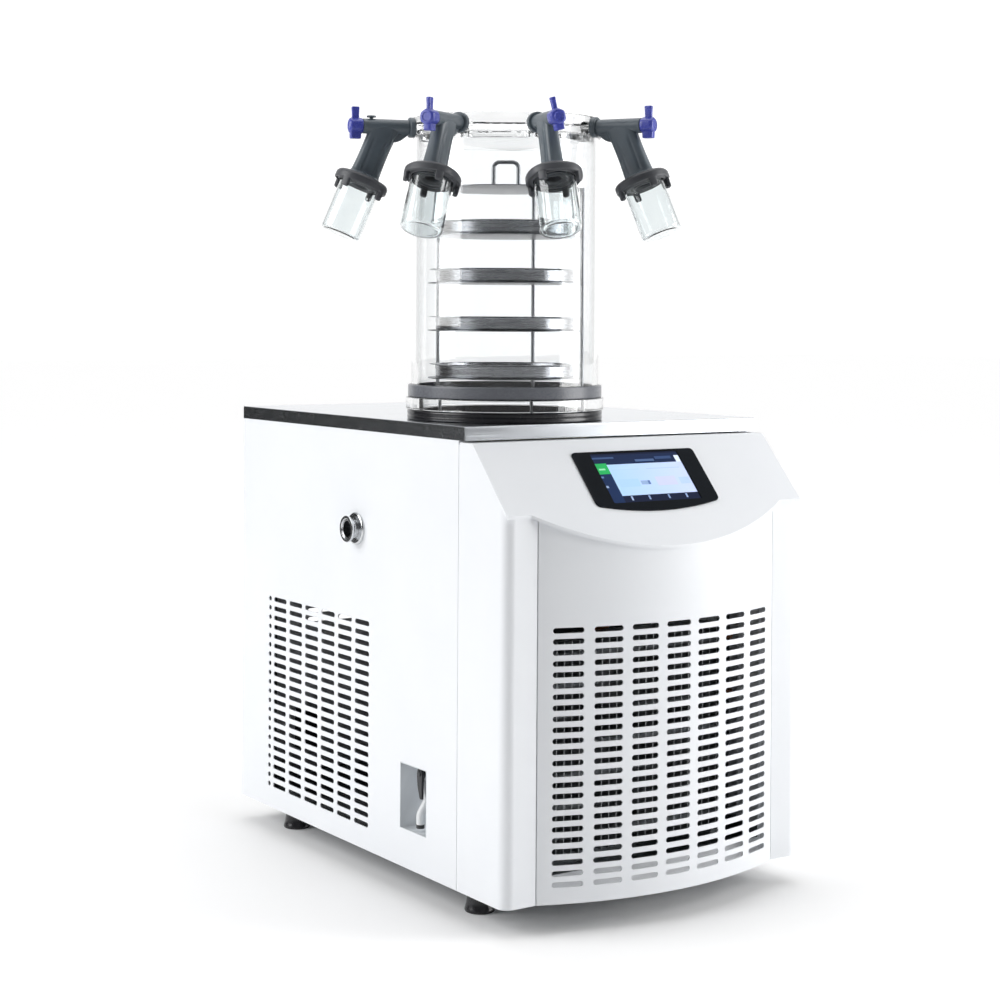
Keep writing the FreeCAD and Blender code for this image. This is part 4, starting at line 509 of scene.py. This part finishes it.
def upright_blade(low, high, long_half, thick_half, waist):
    """Grid of a flat blade that stands on the knob: rounded-rectangle sections stacked between two
    heights, drawn in by the share waist halfway up, and closed with a soft crown at the far end."""
    t = np.concatenate([np.linspace(0, 0.9, 14), [0.94, 0.97, 0.99, 1.0, 1.0]])
    angle = np.linspace(0, 2 * np.pi, 40, endpoint=False)
    cx, cy = squarish(angle, 0.35)
    crown = np.array([0.0] * 14 + [0.02, 0.06, 0.14, 0.3, 1.0])
    size = (1 - waist * np.sin(np.pi * t)) * (1 - crown)
    x = KNOB_OUT + np.outer(size, long_half * cx)
    y = np.outer(size, thick_half * cy)
    return np.stack([x, y, np.outer(low + (high - low) * t, np.ones_like(angle))], -1)


def gripped(points):
    """Six shallow finger hollows pressed into the knob's rim: radius falls by 0.7 mm times the square
    of a cosine that runs three times round."""
    around = np.arctan2(points[..., 2], points[..., 1])
    radius = np.hypot(points[..., 1], points[..., 2])
    cut = 0.0007 * np.cos(3 * around) ** 2 * np.clip((radius - 0.009) / 0.003, 0, 1)
    scale = np.where(radius > 1e-9, (radius - cut) / np.maximum(radius, 1e-9), 1)
    return np.stack([points[..., 0], points[..., 1] * scale, points[..., 2] * scale], -1)


def tipped(points, degrees):
    """Turns a knob about its own axis, X."""
    a = math.radians(degrees)
    return points @ np.array([[1, 0, 0], [0, math.cos(a), -math.sin(a)], [0, math.sin(a), math.cos(a)]]).T


grip = softened([(0.0, 0.1662), (0.0085, 0.1662), (0.0085, 0.2204), (0.0112, 0.2204), (0.012, 0.2235),
                 (0.012, 0.2375), (0.009, 0.2404), (0.0062, 0.2404), (0.0056, 0.2396), (0.0, 0.2396)],
                [0, 0.0008, 0.0002, 0.0012, 0.002, 0.0025, 0.002, 0.0003, 0.0003, 0], closed=False)
parts = [gripped(lying(turned(grip, 96))), upright_blade(0.002, 0.028, 0.006, 0.0034, 0.12),
         upright_blade(-0.002, -0.019, 0.0079, 0.0061, -0.03)]
for number, turn in enumerate(ARM_TURNS, start=1):
    lean = LEAN if number == LEANING else 0.0
    made = [sheet_of("knob_piece", out_on_arm(tipped(part, lean), turn), finish=blue_abs,
                     body=f"knob_{number}") for part in parts]
    knob = joined(f"blue_knob_{number}", made)
    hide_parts(f"valve_knob_{number}")

# ---------------------------------------------------------------------------
# Flask caps. Moulded black rubber discs with ring ridges underneath, a groove for the flask's mouth
# and four claws that hang over its shoulder; the flask's vacuum holds it on.

# Moulded natural rubber: charcoal with a dull bloom.
cap_rubber = mottled("moulded_rubber_charcoal", ("#3A3C40", "#484A4F"), 18, (0.36, 0.52), 1.5, 0.015,
                     IOR=1.5)


def below_neck(points):
    """From the cap's own frame, its top at height 0, to the foot of the neck."""
    return down_neck(points + np.array([0, 0, -NECK_LONG]))


def lobed(points):
    """Four lobes on the rim: beyond radius 34 mm the outline is drawn in between the claws, by 1.4 mm
    times half of 1 less the cosine of four times the angle from a claw."""
    x, y, z = points[..., 0], points[..., 1], points[..., 2]
    radius, around = np.hypot(x, y), np.arctan2(y, x)
    swell = -0.0014 * (1 - np.cos(4 * (around - math.pi / 4))) / 2 * np.clip((radius - 0.034) / 0.006, 0, 1)
    scale = np.where(radius > 1e-9, (radius + swell) / np.maximum(radius, 1e-9), 1)
    return np.stack([x * scale, y * scale, z], -1)


def claw(degrees):
    """Grid of one claw: a curved plate 12 mm wide that hangs from the rim, leans inwards and thickens a
    little towards its toe; its sections are rounded rectangles on arcs about the cap's axis."""
    t = np.linspace(0, 1, 16)
    drop = -0.004 - 0.0215 * t
    inner = 0.0345 - 0.001 * t
    outer = 0.0405 - 0.0006 * t ** 2
    half = np.radians(9.0 - 1.2 * t)
    angle = np.linspace(0, 2 * np.pi, 32, endpoint=False)
    cx, cy = squarish(angle, 0.4)
    closing = np.where(t > 0.97, 0.55, 1.0) * np.where(t < 0.01, 0.6, 1.0)
    radius = ((inner + outer) / 2)[:, None] + np.outer((outer - inner) / 2 * closing, cx)
    around = math.radians(degrees) + np.outer(half * closing, cy)
    grid = np.stack([radius * np.cos(around), radius * np.sin(around), np.outer(drop, np.ones(32))], -1)
    ends = grid[:1].mean(1, keepdims=True).repeat(32, 1), grid[-1:].mean(1, keepdims=True).repeat(32, 1)
    return np.concatenate([ends[0], grid, ends[1]])


disc = softened([(0.0101, 0.0), (0.037, 0.0), (0.0408, -0.004), (0.0408, -0.0132), (0.0378, -0.014),
                 (0.036, -0.0124), (0.0338, -0.0124), (0.0325, -0.014), (0.0303, -0.014),
                 (0.0301, -0.0101), (0.0274, -0.0101), (0.0272, -0.014), (0.0235, -0.014),
                 (0.0222, -0.0126), (0.019, -0.0126), (0.0178, -0.014), (0.014, -0.014),
                 (0.0101, -0.011)], [0.0005, 0.0025, 0.0015, 0.0015] + [0.0006] * 13 + [0.001], steps=4)
disc = lobed(turned(disc, 144))
for number, turn in enumerate(ARM_TURNS, start=1):
    made = [sheet_of("disc", out_on_arm(below_neck(disc), turn), wrap_u=True, finish=cap_rubber)]
    made += [sheet_of("claw", out_on_arm(below_neck(claw(45 + 90 * k)), turn), finish=cap_rubber)
             for k in range(4)]
    cap = joined(f"rubber_cap_{number}", made)
    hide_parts(f"flask_cap_{number}")

# ---------------------------------------------------------------------------
# Flasks. Blown borosilicate bottles, 60 mm across with a 2.5 mm wall, a fire-polished lip and a flat
# floor with a rounded heel.

# Borosilicate glass: colourless, fire-polished, with the faint thick and thin of blowing.
glass, tree, skin, where = new_finish("borosilicate_glass", IOR=1.47, Transmission_Weight=1.0)
wave = add(tree, "ShaderNodeTexNoise", {"Vector": where, "Scale": 40.0, "Detail": 1.0}).outputs["Fac"]
clad(tree, skin, ("#EEF2F3", "#F6F9F9"), wave, (0.0, 0.02), wave, 0.15)
MOUTH, FLOOR = -0.0102, -0.01 - 0.08
bottle = softened([(0.0, FLOOR), (0.03, FLOOR), (0.03, MOUTH), (0.0275, MOUTH), (0.0275, FLOOR + 0.0025),
                   (0.0, FLOOR + 0.0025)], [0, 0.006, 0.001, 0.001, 0.0035, 0], closed=False, steps=8)
bottle = below_neck(turned(bottle, 128))
for number, turn in enumerate(ARM_TURNS, start=1):
    piece = sheet_of(f"glass_flask_{number}", out_on_arm(bottle, turn), finish=glass)
    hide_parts(f"flask_{number}")

# ---------------------------------------------------------------------------
# Display. A gloss-black polycarbonate surround is bonded on the slope, its lower edge bowed like the
# hood's; the touch screen lies 1 mm down in its window, and its housing hangs behind the panel.

DISPLAY_AT = np.array([0.0, -0.3559, 0.6097])
HOOD_SLOPE = math.radians(47.2)
SCREEN = np.array([0.156, 0.088])
BEZEL_HALF = np.array([0.11, 0.0475])
WINDOW_HALF = np.array([0.0783, 0.0443])
BEZEL_BOW = 0.013


def on_slope(points):
    """Points (across, up the slope, out of it) turned up by the slope about X and moved to its place:
    y = up cos - out sin, z = up sin + out cos."""
    across, up, out = np.moveaxis(points, -1, 0)
    return DISPLAY_AT + np.stack([across, up * math.cos(HOOD_SLOPE) - out * math.sin(HOOD_SLOPE),
                                  up * math.sin(HOOD_SLOPE) + out * math.cos(HOOD_SLOPE)], -1)


def outline(half_wide, half_high, radius, count=240):
    """Points spread evenly round a rounded rectangle, by linear interpolation over its arc length."""
    corner = softened([(-half_wide, -half_high), (half_wide, -half_high), (half_wide, half_high),
                       (-half_wide, half_high)], radius)
    loop = np.vstack([corner, corner[:1]])
    along = np.concatenate([[0], np.cumsum(np.linalg.norm(np.diff(loop, axis=0), axis=1))])
    even = np.linspace(0, along[-1], count, endpoint=False)
    return np.stack([np.interp(even, along, loop[:, 0]), np.interp(even, along, loop[:, 1])], -1)


def stacked(rings):
    """Grid made of plane outlines (across, up), each at its own height out of the plane."""
    return np.stack([np.column_stack([ring, np.full(len(ring), out)]) for ring, out in rings])


# Gloss-black polycarbonate, printed from behind: a faint blue cast and a soft hard-coat sheen.
surround_film = mottled("polycarbonate_gloss_black", ("#070C11", "#0C121A"), 40, (0.14, 0.22), 3.0, 0.004,
                        IOR=1.58, Specular_IOR_Level=0.12)
rim = outline(*BEZEL_HALF, 0.007)
window = rim / np.abs(rim / BEZEL_HALF).max(1, keepdims=True) * (WINDOW_HALF / BEZEL_HALF)
wide, high = BEZEL_HALF
hang = BEZEL_BOW * (1 - (rim[:, 0] / wide) ** 2) * (high - rim[:, 1]) / (2 * high)
rim = rim - np.column_stack([np.zeros_like(hang), hang])
surround = stacked([(rim, 0.0), (rim, 0.0012), (rim * 0.9985, 0.0017), (rim * 0.996, 0.002),
                    (window * 1.006, 0.002), (window, 0.0016), (window, 0.0)])
piece = sheet_of("display_surround", on_slope(surround), wrap_u=True, finish=surround_film)
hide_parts("display_bezel")


def tile(tree, under, spot, middle, size, shade):
    """Lays one rectangle of colour over what is shown so far: a spot is covered where its distance
    from the middle is less than half the size, both across and up (all in millimetres)."""
    away = add(tree, "ShaderNodeVectorMath", {0: spot, 1: (*middle, 0.0)}, operation="SUBTRACT").outputs[0]
    away = add(tree, "ShaderNodeVectorMath", {0: away}, operation="ABSOLUTE").outputs[0]
    reach = (size[0] / 2, size[1] / 2, 1.0)
    past = add(tree, "ShaderNodeVectorMath", {0: away, 1: reach}, operation="SUBTRACT")
    part = add(tree, "ShaderNodeSeparateXYZ", {0: past.outputs[0]})
    worst = add(tree, "ShaderNodeMath", {0: part.outputs["X"], 1: part.outputs["Y"]}, operation="MAXIMUM")
    covered = add(tree, "ShaderNodeMath", {0: worst.outputs[0], 1: 0.0}, operation="LESS_THAN").outputs[0]
    return add(tree, "ShaderNodeMix", {0: covered, 6: under, 7: shade}, data_type="RGBA").outputs[2]


# Lit liquid-crystal screen under glass: a pale blue page with navy bars and one green key, in plain
# shapes without words, each colour both its own and faintly given off.
lit_screen, tree, skin, where = new_finish("lcd_screen_lit", IOR=1.5, Roughness=0.18,
                                           Specular_IOR_Level=0.25, Emission_Strength=0.32)
spot = add(tree, "ShaderNodeMapping", {"Vector": add(tree, "ShaderNodeUVMap").outputs["UV"],
                                       "Location": (-78, -44, 0), "Scale": (156, 88, 1)}).outputs["Vector"]
across = add(tree, "ShaderNodeSeparateXYZ", {0: spot}).outputs["X"]
fade = add(tree, "ShaderNodeMapRange", {"Value": across, "From Min": -58.0, "From Max": 78.0})
page = add(tree, "ShaderNodeMix", {0: fade.outputs["Result"], 6: linear("#A9CBEE"), 7: linear("#C0CDF2")},
           data_type="RGBA").outputs[2]
shown = tile(tree, linear("#0E1833"), spot, (0, 32.5), (156, 17), linear("#132344"))
for middle, size, shade in (((-70, -18), (24, 52), "#152A50"), ((-59, 36), (38, 3), "#3A5079"),
                            ((13, 29.5), (34, 4), "#465D86"), ((48, 33), (30, 5), "#30456E"),
                            ((-77, -15), (7, 4), "#8FA4C8"), ((-77, 2), (7, 3), "#5F7BAB")):
    shown = tile(tree, shown, spot, middle, size, linear(shade))
shown = tile(tree, shown, spot, (10, -4), (136, 56), page)
for middle, size, shade in (((73.5, 30), (9, 12), "#D9E6FA"), ((-69.5, 17), (23, 19), "#28A75A"),
                            ((-69.5, 16), (11, 3), "#8FDBAE"), ((38, 14), (60, 1.2), "#A9C0E2"),
                            ((-30, 14), (48, 1.2), "#A9C6E6"), ((-34, -10), (36, 14), "#A6C8EE"),
                            ((33, -9), (36, 16), "#C2C8F2"), ((66, -10), (18, 12), "#AFC6E4"),
                            ((-7, -10.5), (13, 7), "#8DA6CC"), ((1, -10.5), (4, 7), "#5A73A6"),
                            ((-43, -37), (3, 7), "#9FB4D8"), ((-12, -37), (3, 7), "#8196BE"),
                            ((23, -37), (3, 7), "#7D93BC"), ((55, -37), (3, 7), "#8CA2CB")):
    shown = tile(tree, shown, spot, middle, size, linear(shade))
tree.links.new(shown, skin.inputs["Base Color"])
tree.links.new(shown, skin.inputs["Emission Color"])

edge = outline(*SCREEN / 2, 0.0006)
glass_plate = stacked([(edge * 0, -0.003), (edge, -0.003), (edge, 0.0007), (edge * 0.996, 0.001),
                       (edge * 0.6, 0.001), (edge * 0, 0.001)])
piece = sheet_of("touch_screen", on_slope(glass_plate), finish=lit_screen)
at = np.empty(len(piece.data.vertices) * 3)
piece.data.vertices.foreach_get("co", at)
at = at.reshape(-1, 3) - DISPLAY_AT
flat = np.column_stack([at[:, 0], at[:, 1] * math.cos(HOOD_SLOPE) + at[:, 2] * math.sin(HOOD_SLOPE)])
corner_of = np.empty(len(piece.data.loops), int)
piece.data.loops.foreach_get("vertex_index", corner_of)
piece.data.uv_layers.new(name="screen").data.foreach_set("uv", (flat / SCREEN + 0.5)[corner_of].ravel())
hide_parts("touch_display")

back = outline(0.088, 0.049, 0.003)
housing = stacked([(back * 0, -0.0032), (back * 0.99, -0.0032), (back, -0.004), (back, -0.03),
                   (back * 0.99, -0.031), (back * 0, -0.031)])
piece = sheet_of("display_housing", on_slope(housing), finish=zinc_plate)

# ---------------------------------------------------------------------------
# Vacuum port. A turned stainless rose clamps the pipe's end to the left side; from it a short pipe
# leads to a small flange with a conical back, where the pump's hose is clamped on.

PORT_AT = np.array([-0.263, 0.012, 0.5165])


def out_of_left(points, at):
    """Lays a piece turned about Z so that its height points out of the machine's left side."""
    across, up, out = np.moveaxis(points, -1, 0)
    return at + np.stack([-out, -across, up], -1)


rose = softened([(0.0142, 0.0), (0.0245, 0.0), (0.0245, 0.0025), (0.0225, 0.004), (0.0142, 0.004)],
                [0.0002, 0.0003, 0.001, 0.001, 0.0005])
nipple = softened([(0.0125, -0.008), (0.014, -0.008), (0.014, 0.011), (0.02, 0.015), (0.02, 0.018),
                   (0.0158, 0.018), (0.0152, 0.0165), (0.0125, 0.0165)],
                  [0.0003, 0.0003, 0.001, 0.0006, 0.0008, 0.0003, 0.0004, 0.0006])
port = joined("vacuum_port_turned",
              [sheet_of("port_piece", out_of_left(turned(profile, 96), PORT_AT), wrap_u=True,
                        finish=polished) for profile in (rose, nipple)])
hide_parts("vacuum_port")

# ---------------------------------------------------------------------------
# Drain. A grey moulded box is let into the left side; in it stands the drain valve, a white nylon
# body with a black lever on its stem and a spout whose end carries a dark ferrule.

DRAIN_AT = np.array([-0.2145, -0.163, 0.18])

# Moulded ABS, light grey, fine spark texture half a millimetre across.
grey_abs = mottled("moulded_abs_grey", ("#CED3D8", "#D8DCE0"), 40, (0.42, 0.55), 0.8, 0.012, IOR=1.53)
smooth_copy("drain_recess_box", "drain_recess", grey_abs)
# Natural nylon: milky white, softly shining.
nylon = mottled("natural_nylon", ("#D8DBDD", "#E6E8EA"), 14, (0.3, 0.42), 2.0, 0.006, IOR=1.53)
# Black nylon, moulded: satin, faint flow marks.
black_nylon = mottled("moulded_nylon_black", ("#16171A", "#222428"), 12, (0.28, 0.4), 1.2, 0.01, IOR=1.53)

barrel = softened([(0.0, 0.0), (0.009, 0.0), (0.009, 0.012), (0.008, 0.013), (0.008, 0.025),
                   (0.009, 0.026), (0.009, 0.036), (0.0031, 0.036), (0.003, 0.0415), (0.0, 0.0415)],
                  [0, 0.001, 0.0005, 0.0005, 0.0005, 0.0005, 0.001, 0.0002, 0.0006, 0], closed=False)
elbow, tip = np.array([-0.028, 0, 0]), np.array([-0.04, 0, 0])
spout = smooth_path([DRAIN_AT + elbow, DRAIN_AT + elbow + [0, 0, -0.04], DRAIN_AT + tip + [0, 0, -0.058],
                     DRAIN_AT + tip + [0, 0, -0.0778]], 0.012)
socket = turned([(0.0058, 0.0), (0.0071, -0.006), (0.0071, -0.0125), (0.0058, -0.0135)], 48) + DRAIN_AT
grids = ((out_of_left(turned(barrel, 48), DRAIN_AT), False), (rod(spout, 0.0058, 32), False),
         (socket + elbow, True))
valve = joined("drain_valve", [sheet_of("valve_piece", grid, wrap_u=ring, finish=nylon)
                               for grid, ring in grids])
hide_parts("drain_valve_body")
ferrule = softened([(0.0045, -0.078), (0.006, -0.078), (0.006, -0.0725), (0.0057, -0.0725)], 0.0002)
piece = sheet_of("spout_ferrule", turned(ferrule, 48) + DRAIN_AT + tip, wrap_u=True, finish=black_nylon)

# The lever is a flat handle cut straight on its front edge and swept back on its rear one, moulded
# with a round hub that is pressed on the stem; a cap closes it.
blade = softened([(0.001, -0.036), (0.0068, -0.036), (0.007, 0.002), (0.005, 0.0078),
                  (-0.005, 0.0078), (-0.007, -0.001), (-0.0058, -0.016)],
                 [0.0015, 0.0015, 0.003, 0.003, 0.004, 0.004, 0.006])
heart = np.array([0.0008, -0.01])
layers = (0.0, 0.0389), (0.97, 0.0389), (1.0, 0.0393), (1.0, 0.0419), (0.95, 0.0424), (0.0, 0.0424)
handle = stacked([(heart + (blade - heart) * share, out) for share, out in layers])
hub = turned(softened([(0.0031, 0.0364), (0.008, 0.0364), (0.008, 0.04), (0.0031, 0.04)], 0.0005), 48)
cap = turned(softened([(0.0, 0.042), (0.0042, 0.042), (0.0038, 0.0437), (0.0, 0.044)], [0, 0, 0.0006, 0],
                      closed=False), 32)
parts = [sheet_of("lever_piece", out_of_left(grid, DRAIN_AT), wrap_u=ring, finish=black_nylon,
                  body="drain_lever") for grid, ring in ((handle, False), (hub, True), (cap, False))]
lever = joined("drain_lever", parts)
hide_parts("drain_valve_lever")

# ---------------------------------------------------------------------------
# Feet. Four moulded rubber buffers stand under the pan's corners, each with a broad sole and a waist
# below its seat, and are screwed up through the pan.

buffer = softened([(0.0, 0.0), (0.021, 0.0), (0.022, 0.003), (0.0195, 0.011), (0.018, 0.025),
                   (0.02, 0.036), (0.02, 0.0414), (0.0, 0.0414)],
                  [0, 0.002, 0.003, 0.004, 0.006, 0.003, 0.001, 0], closed=False)
feet = joined("rubber_buffers", [sheet_of("foot_piece", turned(buffer, 64) + [x, y, 0], finish=epdm)
                                 for x in (-0.212, 0.212) for y in (-0.255, 0.29)])
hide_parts("rubber_feet")

# ---------------------------------------------------------------------------
# Cold trap. The spun stainless pot hangs from the deck's hole, the evaporator's copper tube is wound
# round it, a shell of foam is cast round both, and the drain tube leaves the pot's floor.

# Annealed stainless, spun: brighter than the deck, with fine turning rings and soft gloss.
spun_steel = lined("spun_stainless_pot", ("#BBBEC2", "#D2D4D7"), (8, 8, 420), 2.0, (0.2, 0.34), 0.004)
smooth_copy("cold_trap", "trap_pot", spun_steel)
smooth_copy("vacuum_pipe", "pump_pipe", spun_steel)

# Drawn copper tube: warm, dulled by handling in patches 15 mm long.
copper = mottled("drawn_copper_tube", ("#A8623F", "#C98A63"), 15, (0.24, 0.42), 6.0, 0.004, Metallic=1.0)
for node, name in (("evaporator_coil", "evaporator_winding"), ("suction_line", "suction_tube"),
                   ("discharge_line", "discharge_tube"), ("liquid_line", "liquid_tube_and_drier")):
    smooth_copy(node, name, copper)

# Polyurethane foam, cast in place: cream, matt, pitted by cells about 2 mm across.
foam, tree, skin, where = new_finish("cast_polyurethane_foam", IOR=1.45)
cells = add(tree, "ShaderNodeTexVoronoi", {"Vector": where, "Scale": 450.0}).outputs["Distance"]
crust = add(tree, "ShaderNodeTexNoise", {"Vector": where, "Scale": 25.0, "Detail": 4.0}).outputs["Fac"]
clad(tree, skin, ("#CDC3A2", "#E0D8BC"), crust, (0.8, 0.95), cells, 0.6)
smooth_copy("trap_insulation", "foam_jacket", foam)
smooth_copy("drain_tube", "drain_hose", silicone)

# ---------------------------------------------------------------------------
# Refrigeration. A black hermetic compressor stands on rubber grommets at the back of the pan; in
# front, a fan in a folded shroud draws air through the grille and an aluminium finned condenser.

# Chassis black, sprayed on drawn steel: deep gloss with dust-like grain.
compressor_paint = mottled("alkyd_paint_black", ("#0E0F11", "#191A1D"), 60, (0.16, 0.3), 2.5, 0.02, IOR=1.5,
                           Coat_Weight=0.4, Coat_Roughness=0.1)
smooth_copy("compressor", "hermetic_compressor", compressor_paint)
smooth_copy("compressor_grommets", "grommets", epdm)

# Mill-finish aluminium: pale grey, brushed by rolling along the fins' height.
rolled = lined("mill_finish_aluminium", ("#B2B5B8", "#CFD1D3"), (300, 300, 12), 2.0, (0.3, 0.45), 0.005)
coat(rolled, "condenser")

# Stove-enamelled motor can: mid grey, lightly pebbled.
motor_enamel = mottled("stove_enamel_grey", ("#5D6267", "#6C7176"), 25, (0.35, 0.5), 1.5, 0.015, IOR=1.5)
smooth_copy("fan_motor", "motor_can", motor_enamel)
smooth_copy("fan_impeller", "fan_wheel", black_nylon, body="impeller")

# ---------------------------------------------------------------------------
# Power inlet. A black moulded socket and its rocker switch are snapped into the rear panel; the
# switch's paddle rides on its own body.

coat(black_nylon, "power_inlet")
smooth_copy("power_switch", "rocker_paddle", black_nylon, body="rocker")

# ---------------------------------------------------------------------------
# Dust mat. A dark nonwoven polyester mat 3.5 mm thick is bonded inside the right side's slots, where
# the fan draws its air.

MAT_AT = (0.2579, 0.135, 0.2295)
felt = mottled("nonwoven_polyester_dark", ("#191B1D", "#2D3033"), 5, (0.85, 0.95), 0.8, 0.3, IOR=1.5)
leaf = outline(0.175, 0.1605, 0.004)
across, up, out = np.moveaxis(stacked([(leaf * 0, 0), (leaf * 0.995, 0), (leaf, 0.0006), (leaf, 0.003),
                                       (leaf * 0.995, 0.0035), (leaf * 0, 0.0035)]), -1, 0)
piece = sheet_of("dust_mat", np.stack([out, across, up], -1) + MAT_AT, finish=felt)

# ---------------------------------------------------------------------------
# Camera, lights and floor. The camera stands off the machine's front left corner, level and a
# little above the deck; broad soft lights stand to the left, to the right front and overhead.

EYE_AT = (-1.7536, -2.5974, 0.8418)
AZIMUTH = 0.59537
ROLL = 0.00624
LEVEL_VIEW = (0.561, 0.828, 0.0)
eye = bpy.data.cameras.new("studio_camera")
eye.lens = 71.61
eye.sensor_width = 36.0
eye.shift_x = -0.01
eye.shift_y = -0.1866
eye.clip_end = 50
camera = placed("studio_camera", eye)
camera.matrix_world = (Matrix.Translation(EYE_AT) @ Matrix.Rotation(-AZIMUTH, 4, "Z")
                       @ Matrix.Rotation(math.pi / 2, 4, "X") @ Matrix.Rotation(ROLL, 4, "Z"))
bpy.context.scene.camera = camera


def softbox(name, at, towards, size, watts):
    """A rectangular area light at a point, facing another."""
    lamp = bpy.data.lights.new(name, "AREA")
    lamp.shape = "RECTANGLE"
    lamp.size, lamp.size_y = size
    lamp.energy = watts
    aim = Vector(towards) - Vector(at)
    facing = aim.to_track_quat("-Z", "Y").to_matrix().to_4x4()
    placed(name, lamp).matrix_world = Matrix.Translation(at) @ facing


softbox("left_bank", (-3.1, 0.9, 1.9), (0, 0, 0.5), (2.4, 2.4), 92)
softbox("right_bank", (3.05, -2.35, 1.5), (0, -0.3, 0.5), (2.4, 2.8), 130)
softbox("overhead", (0.2, 0.2, 3.4), (0, 0, 0.6), (3.0, 3.0), 46)

world = bpy.data.worlds.new("studio")
bpy.context.scene.world = world
world.use_nodes = True
world.node_tree.nodes.clear()
# The room is pale all round, dim where the open studio lies in front of the machine and brightest on
# the backdrop beyond it.
tree = world.node_tree
way = add(tree, "ShaderNodeTexCoord").outputs["Generated"]
beyond = add(tree, "ShaderNodeVectorMath", {0: way, 1: LEVEL_VIEW}, operation="DOT_PRODUCT")
room, lit = [add(tree, "ShaderNodeMapRange", {"Value": beyond.outputs["Value"], "From Min": start,
                                              "From Max": end, "To Min": low, "To Max": high},
                 interpolation_type="SMOOTHSTEP").outputs["Result"]
             for start, end, low, high in ((-0.7, 0.3, 0.12, 0.5), (0.7, 0.93, 0.0, 0.7))]
level = add(tree, "ShaderNodeMath", {0: room, 1: lit}, operation="ADD")
sky = add(tree, "ShaderNodeBackground", {"Color": (1, 1, 1, 1), "Strength": level.outputs[0]})
add(tree, "ShaderNodeOutputWorld", {"Surface": sky.outputs[0]})

# White seamless paper that glows with painted light: it gives off light of its own, none close to the
# machine and more where it lies further behind it.
paper, tree, skin, where = new_finish("studio_paper", Roughness=0.9)
fibre = add(tree, "ShaderNodeTexNoise", {"Vector": where, "Scale": 2.0}).outputs[0]
white = add(tree, "ShaderNodeMix", {0: fibre, 6: linear("#F6F6F6"), 7: linear("#FCFCFC")}, data_type="RGBA")
tree.links.new(white.outputs[2], skin.inputs["Base Color"])
beyond = add(tree, "ShaderNodeVectorMath", {0: where, 1: LEVEL_VIEW}, operation="DOT_PRODUCT")
# Painted light: the paper's glow rises from none 0.5 m beyond the machine to 0.6 at 4 m.
glow = add(tree, "ShaderNodeMapRange", {"Value": beyond.outputs["Value"], "From Min": 0.5, "From Max": 4.0,
                                        "To Min": 0.0, "To Max": 0.6}, interpolation_type="SMOOTHSTEP")
tree.links.new(glow.outputs["Result"], skin.inputs["Emission Strength"])
skin.inputs["Emission Color"].default_value = linear("#FFFFFF")
floor_mesh = bpy.data.meshes.new("studio_floor")
floor_mesh.from_pydata([(-30, -30, 0), (30, -30, 0), (30, 30, 0), (-30, 30, 0)], [], [(0, 1, 2, 3)])
floor_mesh.materials.append(paper)
# Black cloth hung beyond the back left corner, unseen by the camera: bright steel edges turn dark in it.
cloth_mesh = bpy.data.meshes.new("black_cloth")
cloth_mesh.from_pydata([(-3.0, 2.2, 0), (-0.9, 3.4, 0), (-0.9, 3.4, 1.9), (-3.0, 2.2, 1.9)], [],
                       [(0, 1, 2, 3)])
cloth_mesh.materials.append(mottled("black_cloth", ("#050505", "#0A0A0A"), 20, (0.9, 1.0), 2.0, 0.01))
for backdrop in (floor_mesh, cloth_mesh):
    made = placed(backdrop.name, backdrop)
    made.visible_camera = backdrop is floor_mesh
bpy.context.scene.view_settings.view_transform = "Standard"
